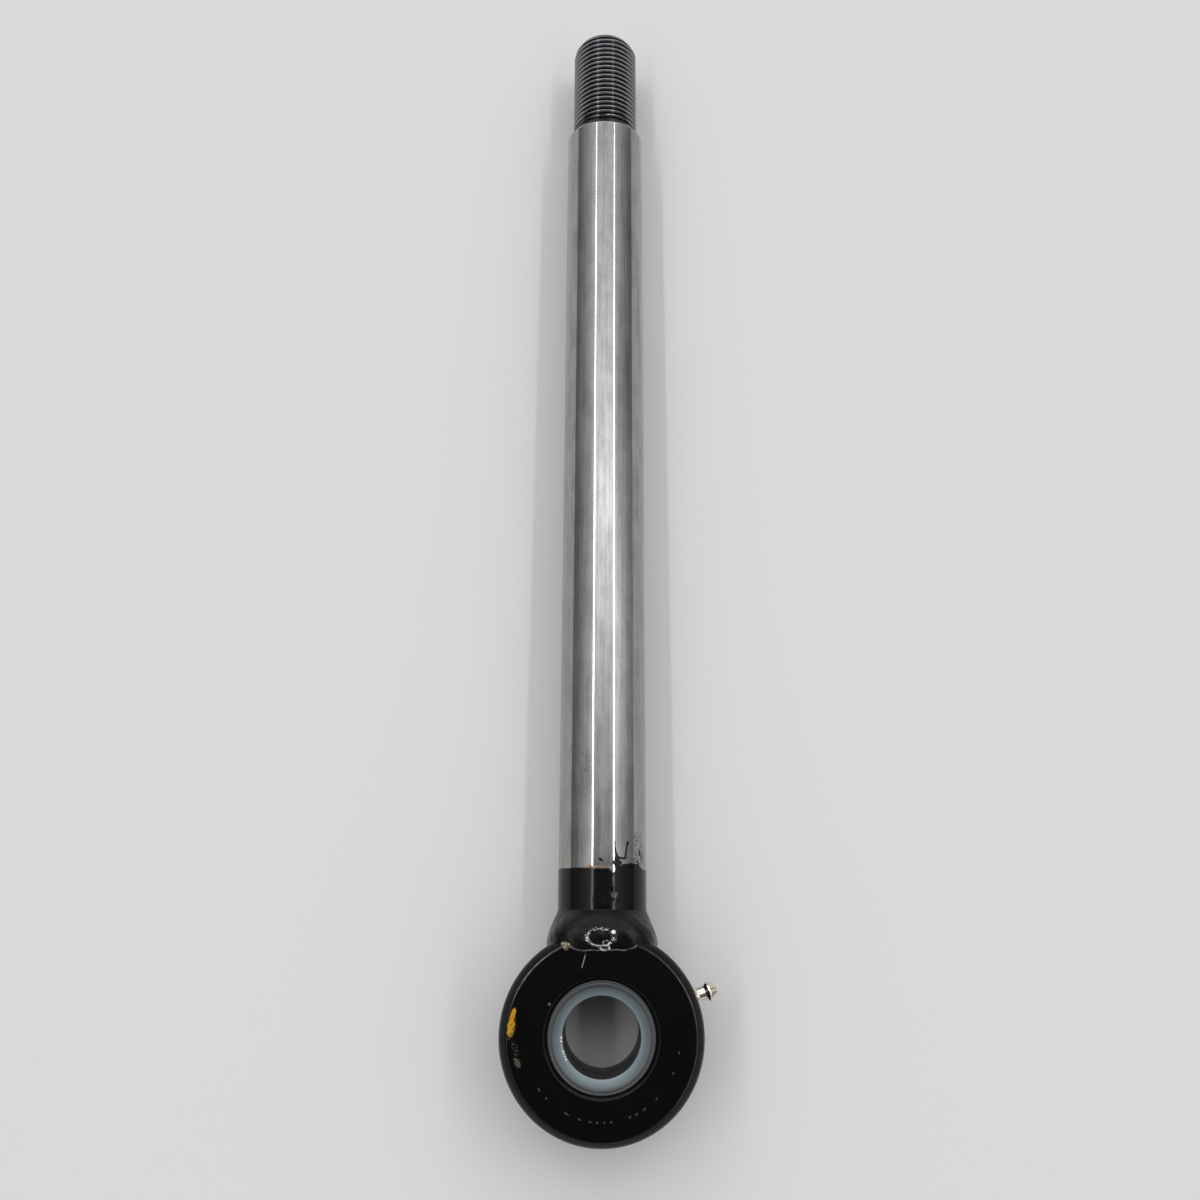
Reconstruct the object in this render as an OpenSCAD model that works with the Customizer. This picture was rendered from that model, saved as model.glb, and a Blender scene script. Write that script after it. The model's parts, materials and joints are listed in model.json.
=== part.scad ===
// Piston rod of a hydraulic cylinder: a hard-chromed bar, threaded at one end for the piston,
// with a bushed eye welded across the other end and a grease nipple in the eye's rim.
// Millimetres. The origin is the middle of the eye's bore, +Z runs along the bore and +Y along the rod.

/* [Piston rod] */
// Diameter of the chromed bar
rod_d = 30; // [28:0.5:33]
// From the middle of the eye to the shoulder that the piston is clamped against
shoulder_y = 345; // [150:1:800]
// Length of the lead cone that lets seals pass over the shoulder
lead_len = 3.2; // [1:0.1:8]
// Width of the narrow shoulder ring outside the thread
shoulder_step = 0.3; // [0.1:0.1:1]
// Outside diameter of the thread
thread_d = 25.4; // [22:0.1:26]
// Turns of the thread in an inch
thread_tpi = 12; // [10:1:16]
// Length of the threaded end, from the shoulder to the tip
thread_len = 41.6; // [20:0.1:70]
// Width of the relief groove between shoulder and thread
relief_w = 1.2; // [0.8:0.1:3]
// How far the relief groove lies below the thread's root
relief_drop = 0.1; // [0.05:0.05:0.5]
// Length of the taper at the tip
tip_taper_len = 3; // [1:0.1:5]
// How far the tip taper goes below the thread's outside
tip_taper_drop = 1.8; // [0.5:0.1:3]
// Mouth of the lathe centre in the tip
centre_mouth_d = 7; // [4:0.1:12]
// Pilot drill of the lathe centre
centre_pilot_d = 3; // [2:0.1:3.5]
// Depth of the pilot drill below the lathe centre's cone
centre_pilot_len = 3; // [1:0.1:8]

/* [Rod eye] */
// Outside diameter of the eye
eye_d = 66; // [62:0.5:76]
// Width of the eye across its two faces
eye_w = 36; // [33:0.5:46]
// Bevel round both outer edges of the eye
eye_bevel = 2.6; // [1:0.1:4]
// Bevel at both mouths of the hole for the bush
eye_hole_bevel = 0.9; // [0.3:0.1:1.2]

/* [Bush] */
// Outside diameter of the bush, and of the hole that it is pressed into
bush_d = 35; // [33:0.5:38]
// Bore of the bush, for the pivot pin
bush_bore_d = 25; // [20:0.5:26]
// How far each end of the bush lies below the eye's face
bush_recess = 0.5; // [0.1:0.1:1.5]
// Radius of the rounded mouths of the bore
bush_mouth_r = 3; // [1:0.1:3.2]
// Bevel on the bush's outer edges
bush_edge = 0.4; // [0.2:0.1:0.8]
// Width of the grease groove in the middle of the bore
groove_w = 5; // [3.5:0.1:8]
// Depth of the grease groove
groove_depth = 0.8; // [0.4:0.1:1.2]

/* [Weld] */
// How far the bead runs up the rod from the eye's outside
weld_leg = 6.6; // [4:0.1:10]
// Thickness of the bead at the rod's sides
weld_side = 3.5; // [2:0.1:5]
// Height of the bead above the eye's two faces
weld_cap = 1.3; // [0.6:0.1:2.5]
// How far the crest over the faces lies in from the eye's outside
weld_crest_in = 1.7; // [0.5:0.1:2.5]
// Radius of the bead over each face
run_r = 9; // [7:0.1:10]
// Length of the straight middle of the bead over each face
run_w = 12; // [4:0.5:16]
// How far in from the eye's outside the bead's flanks reach their full width
weld_flank_in = 4.5; // [2:0.1:6]
// Radius of the land on the rod's foot, inside the bevel that the weld fills
root_r = 8; // [5:0.5:11]

/* [Grease nipple] */
// Direction of the nipple round the eye, from +X towards the rod
nipple_angle = 20.2; // [-60:0.1:30]
// Depth of the flat seat for the nipple, below the eye's outside
seat_depth = 2.7; // [1:0.1:5]
// Diameter of the flat seat, wide enough for a socket
seat_d = 11; // [9.5:0.1:14]
// Outside diameter of the nipple's thread
shank_d = 6; // [5:0.1:6.2]
// Length of the nipple's thread
shank_len = 5.5; // [4:0.1:7]
// Free depth of the tapped hole below the nipple
tapped_spare = 1.2; // [0.3:0.1:2]
// Gap round the nipple's thread
shank_gap = 0.02; // [0.01:0.01:0.05]
// Drilled grease way from the nipple to the bore
way_d = 3; // [2:0.1:3.4]
// Hexagon of the nipple across its flats
hex_af = 7; // [6.8:0.1:8]
// Height of the hexagon
hex_h = 3.2; // [2:0.1:4]
// Diameter of the nipple's neck
neck_d = 4.9; // [4.4:0.1:5.4]
// Diameter of the nipple's head
head_d = 6.5; // [6:0.1:7]
// Height of the head's full rim above the seat
head_rim_z = 7.5; // [6.6:0.1:8]
// Height of the nipple's tip above the seat
nipple_h = 10.5; // [10:0.1:12]
// Flat at the tip of the head
tip_d = 3.2; // [2.8:0.1:3.6]

/* [Nipple valve] */
// Inside diameter of the nipple
duct_d = 2.9; // [2.8:0.05:3]
// Opening at the tip that the ball closes
mouth_d = 1.7; // [1.5:0.05:1.75]
// Thickness of the lip outside the ball's seat
lip_t = 0.35; // [0.2:0.05:0.5]
// Diameter of the check ball
ball_d = 2.5; // [2.45:0.05:2.6]
// Gap between the ball and its seat
ball_gap = 0.03; // [0.02:0.01:0.06]
// Wire of the ball's spring
wire_d = 0.36; // [0.3:0.02:0.4]
// Outside diameter of the spring
spring_d = 2.46; // [2.3:0.02:2.56]
// Number of turns of the spring
spring_turns = 9; // [6:1:11]
// Height of the crimped edge that holds the spring in
crimp_h = 0.4; // [0.3:0.05:0.8]
// Opening inside the crimped edge
crimp_d = 1.6; // [1.2:0.05:1.7]

/* [Hidden] */
$fn = 96;
chrome_colour = "#a9acae";
paint_colour = "#17171b";
bush_colour = "#7d868a";
nickel_colour = "#cfc8b8";
steel_colour = "#8f9193";
wire_colour = "#77797b";
// Overshoot of cutting tools past the faces that they cut
past = 1;
// Depth of the lathe centre's cone, which has an angle of 60 degrees
centre_cone_len = (centre_mouth_d - centre_pilot_d) / 2 / tan(30);
// Rod
rod_r = rod_d / 2;
thread_r = thread_d / 2;
tip_y = shoulder_y + thread_len;
// Thread: flanks at 60 degrees, a crest an eighth of the pitch wide and a root a sixth of it wide
pitch = 25.4 / thread_tpi;
crest_w = pitch / 8;
root_w = pitch / 6;
thread_depth = (pitch - crest_w - root_w) / 2 / tan(30);
thread_root_r = thread_r - thread_depth;
// Its turns are closed rings, and what they leave of its length is shared between the two ends
full_thread_len = thread_len - relief_w - tip_taper_len;
thread_turns = floor(full_thread_len / pitch);
first_crest_y = shoulder_y + relief_w + (full_thread_len - thread_turns * pitch) / 2;
// Eye and bush
eye_r = eye_d / 2;
face_z = eye_w / 2;
bush_end_z = face_z - bush_recess;
bush_bore_r = bush_bore_d / 2;
// Weld bead: where it starts on the rod, its crest and full width, and its edge on the faces
weld_root_y = eye_r + weld_leg;
weld_crest_y = eye_r - weld_crest_in;
weld_flank_y = eye_r - weld_flank_in;
weld_half_w = rod_r + weld_side;
weld_half_h = face_z + weld_cap;
weld_toe_y = weld_crest_y - sqrt(2 * run_r * weld_cap - weld_cap * weld_cap);
// How far the ring's inner end stays below the faces
weld_tuck = 0.3;
// Nipple: seat and valve heights along its own axis, from the seat outwards
seat_r = eye_r - seat_depth;
shank_bevel = 0.5;
under_head = 0.9;
head_rim_h = 0.6;
tip_round = 0.3;
hex_bevel = 0.35;
cone_top_z = nipple_h - lip_t;
cone_base_z = cone_top_z - (duct_d - mouth_d) / 2;
crimp_z = -shank_len + crimp_h;
ball_r = ball_d / 2;
// The ball touches its 45 degree seat where its own surface slopes the same way
ball_touch = ball_r * sin(45);
ball_z = cone_base_z + duct_d / 2 - 2 * ball_touch - ball_gap / sin(45);
// The spring's end turns: one on the crimped edge, one under the ball
wire_r = wire_d / 2;
coil_r = spring_d / 2 - wire_r;
spring_low_z = crimp_z + wire_r + ball_gap;
spring_top_z = ball_z - sqrt(pow(ball_r + wire_r + ball_gap, 2) - pow(coil_r, 2));
wire_sides = 6;
steps_per_turn = 14;

// Turns a shape made along +Z so that it lies along +Y
module along_rod() {
    rotate([-90, 0, 0]) children();
}

// Puts a shape made along +Z on the nipple's axis, with its zero at the seat
module at_nipple() {
    rotate([0, 0, nipple_angle])
        translate([seat_r, 0, 0])
            rotate([0, 90, 0]) children();
}

// Lathe centre drilled into the tip
module lathe_centre() {
    translate([0, 0, tip_y - centre_cone_len])
        cylinder(h = centre_cone_len, d1 = centre_pilot_d, d2 = centre_mouth_d);
    translate([0, 0, tip_y - centre_cone_len - centre_pilot_len])
        cylinder(h = centre_pilot_len + past, d = centre_pilot_d);
}

// Section of the groove after a crest: two flanks and the root between them
function thread_groove(crest_y) = [
    [thread_r, crest_y + crest_w / 2],
    [thread_root_r, crest_y + (pitch - root_w) / 2],
    [thread_root_r, crest_y + (pitch + root_w) / 2],
    [thread_r, crest_y + pitch - crest_w / 2],
];

// The turned bar, from the land of its weld bevel to the threaded tip
module turned_bar() {
    shoulder_r = thread_r + shoulder_step;
    relief_r = thread_root_r - relief_drop;
    land_y = sqrt(eye_r * eye_r - root_r * root_r);
    rotate_extrude()
        polygon([
            [0, weld_toe_y],
            [root_r, weld_toe_y],
            [root_r, land_y],
            [rod_r, weld_root_y],
            [rod_r, shoulder_y - lead_len],
            [shoulder_r, shoulder_y],
            [relief_r, shoulder_y],
            [relief_r, shoulder_y + relief_w],
            [thread_r, shoulder_y + relief_w],
            for (turn = [0:thread_turns - 1]) each thread_groove(first_crest_y + turn * pitch),
            [thread_r, tip_y - tip_taper_len],
            [thread_r - tip_taper_drop, tip_y],
            [0, tip_y],
        ]);
}

// The eye as turned, before its holes
module eye_blank() {
    rotate_extrude()
        polygon([
            [0, -face_z],
            [eye_r - eye_bevel, -face_z],
            [eye_r, eye_bevel - face_z],
            [eye_r, face_z - eye_bevel],
            [eye_r - eye_bevel, face_z],
            [0, face_z],
        ]);
}

// The hole for the bush, bevelled at both mouths
module bush_hole() {
    cylinder(h = eye_w + 2 * past, d = bush_d, center = true);
    for (turned = [0, 1])
        mirror([0, 0, turned])
            translate([0, 0, face_z - eye_hole_bevel])
                cylinder(h = 2 * eye_hole_bevel, d1 = bush_d, d2 = bush_d + 4 * eye_hole_bevel);
}

// Flat seat, tapped hole and drilled way under the nipple
module nipple_hole() {
    cylinder(h = seat_depth + past, d = seat_d);
    translate([0, 0, -shank_len - tapped_spare])
        cylinder(h = shank_len + tapped_spare + past, r = shank_d / 2 + shank_gap);
    grease_way();
}

// Drilled way from the tapped hole into the bore
module grease_way() {
    way_len = seat_r - bush_bore_r + past;
    translate([0, 0, -way_len]) cylinder(h = way_len, d = way_d);
}

module piston_rod() {
    color(chrome_colour)
        difference() {
            along_rod() difference() {
                turned_bar();
                lathe_centre();
            }
            // The foot is milled to sit on the eye
            cylinder(h = eye_w, r = eye_r, center = true);
        }
}

module rod_eye() {
    color(paint_colour)
        difference() {
            eye_blank();
            bush_hole();
            at_nipple() nipple_hole();
        }
}

// The bead round the rod: a cone that widens towards the eye, then in below the eye's faces
module weld_ring() {
    rotate_extrude()
        polygon([
            [0, weld_toe_y],
            [face_z - weld_tuck, weld_toe_y],
            [weld_half_w, weld_flank_y],
            [rod_r, weld_root_y],
            [0, weld_root_y],
        ]);
}

// The run of bead over one face: a bar with round ends, sunk so that its side meets rod and face
module weld_run() {
    translate([0, weld_crest_y, weld_half_h - run_r])
        rotate([0, 90, 0])
            rotate_extrude()
                intersection() {
                    union() {
                        square([2 * run_r, run_w], center = true);
                        for (side = [-1, 1]) translate([0, side * run_w / 2]) circle(r = run_r);
                    }
                    translate([0, -run_r - run_w]) square([run_r, 2 * (run_r + run_w)]);
                }
}

module weld_bead() {
    color(paint_colour)
        difference() {
            union() {
                along_rod() weld_ring();
                for (turned = [0, 1]) mirror([0, 0, turned]) weld_run();
            }
            eye_blank();
            along_rod() turned_bar();
        }
}

// Half of the bush's wall in section, from its middle to one end
module bush_half_section() {
    wall = bush_d / 2 - bush_bore_r;
    difference() {
        translate([bush_bore_r, 0])
            polygon([
                [0, 0],
                [wall, 0],
                [wall, bush_end_z - bush_edge],
                [wall - bush_edge, bush_end_z],
                [0, bush_end_z],
            ]);
        difference() {
            translate([bush_bore_r - past, bush_end_z - bush_mouth_r])
                square([bush_mouth_r + past, bush_mouth_r + past]);
            translate([bush_bore_r + bush_mouth_r, bush_end_z - bush_mouth_r]) circle(r = bush_mouth_r);
        }
        translate([bush_bore_r - past, -past]) square([groove_depth + past, groove_w / 2 + past]);
    }
}

module eye_bush() {
    color(bush_colour)
        difference() {
            rotate_extrude() {
                bush_half_section();
                mirror([0, 1]) bush_half_section();
            }
            at_nipple() grease_way();
        }
}

// Outside of the nipple without its hexagon
module nipple_outside() {
    shank_r = shank_d / 2;
    neck_r = neck_d / 2;
    head_r = head_d / 2;
    tip_r = tip_d / 2;
    neck_top_z = head_rim_z - under_head;
    rotate_extrude()
        polygon([
            [0, -shank_len],
            [shank_r - shank_bevel, -shank_len],
            [shank_r, shank_bevel - shank_len],
            [shank_r, hex_h],
            [neck_r, hex_h + shank_r - neck_r],
            [neck_r, neck_top_z],
            [head_r, head_rim_z],
            [head_r, head_rim_z + head_rim_h],
            [tip_r + tip_round, nipple_h - tip_round],
            [tip_r, nipple_h],
            [0, nipple_h],
        ]);
}

// Hexagon with its upper corners turned off
module nipple_hex() {
    corner_d = hex_af / cos(30);
    intersection() {
        cylinder(h = hex_h, d = corner_d, $fn = 6);
        cylinder(h = hex_h, d1 = corner_d + 2 * hex_h - 2 * hex_bevel, d2 = corner_d - 2 * hex_bevel);
    }
}

// Duct through the nipple: crimped edge, spring room, ball seat and mouth
module nipple_duct() {
    translate([0, 0, -shank_len - past]) cylinder(h = crimp_h + 2 * past, d = crimp_d);
    translate([0, 0, crimp_z]) cylinder(h = cone_base_z - crimp_z, d = duct_d);
    translate([0, 0, cone_base_z])
        cylinder(h = cone_top_z - cone_base_z, d1 = duct_d, d2 = mouth_d);
    translate([0, 0, cone_base_z]) cylinder(h = nipple_h - cone_base_z + past, d = mouth_d);
}

module grease_nipple() {
    color(nickel_colour)
        at_nipple() difference() {
            union() {
                nipple_outside();
                nipple_hex();
            }
            nipple_duct();
        }
}

module nipple_ball() {
    color(steel_colour)
        at_nipple() translate([0, 0, ball_z]) sphere(d = ball_d);
}

// Point number side of the wire's ring number step: the wire winds round +Z as it climbs
function wire_point(step, side) =
    let (
        turn = 360 * step / steps_per_turn,
        climb = (spring_top_z - spring_low_z) * step / (spring_turns * steps_per_turn),
        out = coil_r + wire_r * cos(360 * side / wire_sides)
    )
    [out * cos(turn), out * sin(turn), spring_low_z + climb + wire_r * sin(360 * side / wire_sides)];

module nipple_spring() {
    steps = spring_turns * steps_per_turn;
    points = [for (step = [0:steps]) for (side = [0:wire_sides - 1]) wire_point(step, side)];
    walls = [
        for (step = [0:steps - 1])
            for (side = [0:wire_sides - 1])
                let (a = step * wire_sides, b = a + wire_sides, next = (side + 1) % wire_sides)
                [a + side, b + side, b + next, a + next]
    ];
    start_cap = [for (side = [0:wire_sides - 1]) side];
    end_cap = [for (side = [wire_sides - 1:-1:0]) steps * wire_sides + side];
    color(wire_colour)
        at_nipple() polyhedron(points = points, faces = concat(walls, [start_cap, end_cap]), convexity = 10);
}

piston_rod();
rod_eye();
weld_bead();
eye_bush();
grease_nipple();
nipple_ball();
nipple_spring();
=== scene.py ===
"""Looks of a chromed hydraulic piston rod with a welded, bushed eye and a grease nipple.

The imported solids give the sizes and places. New surfaces are worked out in millimetres in the part's own
frame: +Y runs along the rod from the eye to the thread, +Z along the bore, and the origin is in its middle.
"""
import json
import logging
import math
from collections.abc import Iterable, Sequence
from dataclasses import dataclass, field
from enum import Enum
from typing import Any

import bmesh
import bpy
import numpy as np
from mathutils import Matrix, Vector


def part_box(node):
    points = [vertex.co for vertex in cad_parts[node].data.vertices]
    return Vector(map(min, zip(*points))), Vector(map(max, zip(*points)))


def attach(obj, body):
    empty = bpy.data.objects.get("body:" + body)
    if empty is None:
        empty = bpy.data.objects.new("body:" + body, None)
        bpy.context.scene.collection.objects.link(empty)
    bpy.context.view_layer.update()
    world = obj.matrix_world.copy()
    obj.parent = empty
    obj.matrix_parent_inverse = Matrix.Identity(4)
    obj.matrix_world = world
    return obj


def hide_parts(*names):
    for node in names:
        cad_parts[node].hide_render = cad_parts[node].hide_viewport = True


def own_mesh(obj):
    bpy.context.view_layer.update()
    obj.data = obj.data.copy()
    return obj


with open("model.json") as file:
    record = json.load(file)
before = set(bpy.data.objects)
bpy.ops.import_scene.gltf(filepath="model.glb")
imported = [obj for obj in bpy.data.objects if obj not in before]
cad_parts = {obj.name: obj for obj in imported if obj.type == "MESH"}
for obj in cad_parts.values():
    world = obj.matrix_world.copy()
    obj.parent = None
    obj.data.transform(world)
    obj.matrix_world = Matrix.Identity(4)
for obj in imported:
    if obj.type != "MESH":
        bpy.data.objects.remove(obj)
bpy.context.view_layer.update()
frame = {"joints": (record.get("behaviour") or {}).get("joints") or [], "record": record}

Material, Tree, Node, Socket = bpy.types.Material, bpy.types.NodeTree, bpy.types.Node, bpy.types.NodeSocket
Array = np.ndarray
Grid = tuple[Array, Array]
Triple = tuple[float, float, float]
Stops = tuple[tuple[float, float], ...]

log = logging.getLogger("piston_rod")

MM = 1000.0
MERGE_M = 2e-6


class Slot(Enum):
    """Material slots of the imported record."""

    CHROME = "hard_chrome"
    ENAMEL = "black_enamel"
    BUSH = "bush_steel"
    NICKEL = "nickel_plate"
    BALL = "ball_steel"
    WIRE = "spring_wire"


class Body(Enum):
    """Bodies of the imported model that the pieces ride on."""

    ROD = "rod"
    BALL = "check_ball"


class MarkKind(Enum):
    """How a mark covers its patch of surface."""

    PATCH = "one ragged patch"
    SPECKS = "separate specks inside the patch"
    RING = "a broken line round the patch"


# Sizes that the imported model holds


def node_box(node: str) -> tuple[Array, Array]:
    """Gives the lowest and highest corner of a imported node.

    Args:
        node: Name of the node.

    Returns:
        Two points in millimetres.
    """
    low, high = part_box(node)
    return np.array(low) * MM, np.array(high) * MM


def mount(name: str) -> dict[str, Any]:
    """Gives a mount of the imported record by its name."""
    return next(m for m in frame["record"]["mounts"] if m["name"] == name)


def pin_span(name: str) -> tuple[float, float, float]:
    """Reads where a round wall along the rod runs.

    Args:
        name: Name of the mount.

    Returns:
        Radius, first Y and last Y, in millimetres.
    """
    found = mount(name)
    middle = found["pos_m"][1] * MM
    half = found["dims"]["length_mm"] / 2
    return found["dims"]["r_mm"], middle - half, middle + half


def ball_lift() -> dict[str, Any]:
    """Gives the joint by which the check ball lifts off its seat."""
    return next(joint for joint in frame["joints"] if joint["name"] == "ball_lift")


def nipple_angle() -> float:
    """Gives the nipple's direction round the eye in radians, against the way its ball lifts off its seat."""
    lift = ball_lift()["axis"]
    return math.atan2(-lift[1], -lift[0])


def on_nipple(points: Array, seat_r: float) -> Array:
    """Places points along the nipple by a turn about the bore's axis.

    Args:
        points: Points whose z runs outwards along the nipple, from its seat.
        seat_r: Distance of the seat from the bore's axis.

    Returns:
        The same points in the part's frame.
    """
    cos, sin = math.cos(nipple_angle()), math.sin(nipple_angle())
    out, side = seat_r + points[..., 2], points[..., 1]
    return np.stack([out * cos - side * sin, out * sin + side * cos, -points[..., 0]], axis=-1)


# Surfaces


def rounded(corners: Sequence[Sequence[float]], sizes: Sequence[float], steps: int = 5,
            loop: bool = False) -> Array:
    """Rounds the corners of an outline.

    Each corner P becomes the parabola (1-s)(1-s) A + 2 s (1-s) P + s s B, where A and B lie on the two
    sides, one size away from P. A size of 0 leaves the corner sharp. A guard point past A and one past B
    keep the shading of the straight sides true.

    Args:
        corners: Points of the outline, in order.
        sizes: How far each corner's rounding reaches along its sides.
        steps: Points that each corner becomes.
        loop: Whether the last corner joins the first.

    Returns:
        Points of the rounded outline.
    """
    at = np.asarray(corners, float)
    before, after = np.roll(at, 1, axis=0), np.roll(at, -1, axis=0)
    if not loop:
        before[0], after[-1] = at[0], at[-1]
    reach = np.asarray(sizes, float)[:, None]
    s = np.linspace(0, 1, steps)[None, :, None]
    ends, guards = [], []
    for other, shift in ((before, 1), (after, -1)):
        way = other - at
        length = np.maximum(np.linalg.norm(way, axis=1, keepdims=True), 1e-9)
        spare = np.maximum(length - reach - np.roll(reach, shift, axis=0), 0)
        ends.append((at + way * reach / length)[:, None])
        guard = reach + np.minimum(0.3 * reach, 0.25 * spare)
        guards.append((at + way * guard / length)[:, None])
    curve = (1 - s) ** 2 * ends[0] + 2 * s * (1 - s) * at[:, None] + s**2 * ends[1]
    return np.concatenate([guards[0], curve, guards[1]], axis=1).reshape(-1, 2)


def full_circle(columns: int) -> Array:
    """Gives even angles round a full turn, in radians."""
    return math.tau * np.arange(columns) / columns


def turned(profile: Array, angles: Array) -> Array:
    """Turns a profile about an axis: radius times cosine and sine of the angle, and the height as it is.

    Args:
        profile: Rows of radius and height.
        angles: Angles of the columns, in radians.

    Returns:
        Points by row and column, with the axis as the third coordinate.
    """
    radius, height = profile[:, :1], profile[:, 1:2]
    flat = np.ones_like(angles)[None]
    return np.stack([radius * np.cos(angles), radius * np.sin(angles), height * flat], axis=-1)


def along_rod(points: Array) -> Array:
    """Lays points turned about the third axis along the rod, so that their height is Y."""
    return points[..., [0, 2, 1]]


def quads(rows: int, columns: int, close_rows: bool = False, close_columns: bool = True) -> Array:
    """Lists the quads between neighbouring points of a grid.

    Args:
        rows: Number of rows.
        columns: Number of columns.
        close_rows: Whether the last row joins the first.
        close_columns: Whether the last column joins the first.

    Returns:
        Four point numbers for each quad, row after row.
    """
    row = np.arange(rows if close_rows else rows - 1)[:, None]
    column = np.arange(columns if close_columns else columns - 1)[None]
    next_row, next_column = (row + 1) % rows, (column + 1) % columns
    corners = (row * columns + column, row * columns + next_column,
               next_row * columns + next_column, next_row * columns + column)
    return np.stack(np.broadcast_arrays(*corners), axis=-1).reshape(-1, 4)


def grid(points: Array, close_rows: bool = False, close_columns: bool = True) -> Grid:
    """Pairs the points of a grid with its quads."""
    rows, columns = points.shape[:2]
    return points.reshape(-1, 3), quads(rows, columns, close_rows, close_columns)


def smoothstep(low: float, high: float, value: Array) -> Array:
    """Rises from 0 at low to 1 at high along 3 t t - 2 t t t."""
    t = np.clip((value - low) / (high - low), 0, 1)
    return t * t * (3 - 2 * t)


def smooth_max(a: Array, b: Array, blend: float) -> Array:
    """Larger of two values, with a hyperbola of the given width across the corner."""
    return (a + b + np.sqrt((a - b) ** 2 + blend**2)) / 2


def softplus(value: Array, width: float) -> Array:
    """Bends from 0 to the value over the given width: width times log(1 + exp(value / width))."""
    return width * np.logaddexp(0, value / width)


def hill(value: Array, middle: float, width: float) -> Array:
    """Bell curve of height 1."""
    return np.exp(-(((value - middle) / width) ** 2))


@dataclass
class Pocket:
    """A round pocket, drilled square into a turned wall from the side.

    Its mouth lies on the wall, its wall runs parallel to its axis, and its floor is flat.
    """

    angle: float
    mouth_r: float
    floor: float
    block: int = 16

    def rows(self, wall_r: float, columns: int) -> Array:
        """Spaces the wall's rows like its columns, so that the block that holds the pocket is square."""
        half = wall_r * math.sin(math.pi * self.block / columns)
        return np.linspace(half, -half, self.block + 1)

    def cut(self, profile: Array, first_row: int, columns: int) -> list[Grid]:
        """Turns a closed profile and replaces one block of its grid by the pocket.

        The block's edge is drawn in to the mouth's circle by (1-t) edge + t circle, always on the wall.
        From there the circle goes straight down to the floor, and shrinks to the middle of the floor.

        Args:
            profile: Closed outline, rows of radius and height, with the block's rows in it.
            first_row: Row where the block starts.
            columns: Columns of the turned surface.

        Returns:
            The turned surface without the block, and the pocket.
        """
        n = self.block
        step = math.tau / columns
        angles = self.angle + step * np.arange(columns)
        points, faces = grid(turned(profile, angles), close_rows=True)
        row, column = faces[:, 0] // columns, faces[:, 0] % columns
        in_rows = (row >= first_row) & (row < first_row + n)
        in_columns = (column < n // 2) | (column >= columns - n // 2)
        kept = faces[~(in_rows & in_columns)]

        wall_r = profile[first_row, 0]
        heights = profile[first_row : first_row + n + 1, 1]
        k = np.arange(n)
        edge_column = np.concatenate([k - n // 2, np.full(n, n // 2), n // 2 - k, np.full(n, -n // 2)])
        edge_row = np.concatenate([np.zeros(n, int), k, np.full(n, n), n - k])
        edge = np.stack([wall_r * np.sin(edge_column * step), heights[edge_row]], axis=-1)
        around = np.arctan2(edge[:, 1], edge[:, 0])
        circle = self.mouth_r * np.stack([np.cos(around), np.sin(around)], axis=-1)
        t = np.linspace(0, 1, 5)[:, None, None]
        on_wall = (1 - t) * edge + t * circle
        out = np.sqrt(wall_r**2 - on_wall[..., 0] ** 2)
        down = np.linspace(0, 1, 4)[1:, None]
        out = np.concatenate([out, (1 - down) * out[-1] + down * self.floor, np.full((3, 4 * n), self.floor)])
        shrink = np.array([0.7, 0.4, 0.0])[:, None, None]
        side = np.concatenate([on_wall, np.repeat(circle[None], 3, axis=0), shrink * circle])
        cos, sin = math.cos(self.angle), math.sin(self.angle)
        across, level = side[..., 0], side[..., 1]
        pocket = np.stack([out * cos - across * sin, out * sin + across * cos, level], axis=-1)
        return [(points, kept), grid(pocket)]


def make_piece(name: str, grids: Iterable[Grid], material: Material,
               replaced: str | None = None, sharp_deg: float = 34.0,
               values: tuple[str, Array] | None = None, body: Body = Body.ROD) -> bpy.types.Object:
    """Joins grids into one closed mesh, and puts it on its body.

    Args:
        name: Name of the piece.
        grids: Points in millimetres and quads of each grid.
        material: Finish of the piece.
        replaced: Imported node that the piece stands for.
        sharp_deg: Turn between faces above which an edge stays sharp.
        values: Name and values of an attribute that its finish reads, one for each point.
        body: Body that the piece rides on.

    Returns:
        The new object.
    """
    pairs = list(grids)
    counts = np.cumsum([0] + [len(points) for points, _ in pairs])
    points = np.concatenate([points for points, _ in pairs]) / MM
    faces = np.concatenate([quad + start for (_, quad), start in zip(pairs, counts)])
    mesh = bpy.data.meshes.new(name)
    mesh.from_pydata(points.tolist(), [], faces.tolist())
    if values:
        mesh.attributes.new(values[0], "FLOAT", "POINT").data.foreach_set("value", values[1].ravel())
    work = bmesh.new()
    work.from_mesh(mesh)
    bmesh.ops.remove_doubles(work, verts=work.verts, dist=MERGE_M)
    bmesh.ops.recalc_face_normals(work, faces=work.faces)
    work.to_mesh(mesh)
    work.free()
    mesh.shade_smooth()
    mesh.set_sharp_from_angle(angle=math.radians(sharp_deg))
    mesh.materials.append(material)
    piece = bpy.data.objects.new(name, mesh)
    bpy.context.scene.collection.objects.link(piece)
    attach(piece, body.value)
    if replaced:
        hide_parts(replaced)
    log.info("%s: %d faces, %s", name, len(mesh.polygons), material.name)
    return piece


# Finishes


def linear(colour: str) -> tuple[float, float, float, float]:
    """Turns an sRGB colour into a linear one.

    Args:
        colour: Hex value with a # in front.

    Returns:
        Red, green, blue and alpha.
    """
    parts = np.array([int(colour[i : i + 2], 16) for i in (1, 3, 5)]) / 255
    values = np.where(parts <= 0.04045, parts / 12.92, ((parts + 0.055) / 1.055) ** 2.4)
    return (*(float(v) for v in values), 1.0)


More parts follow.
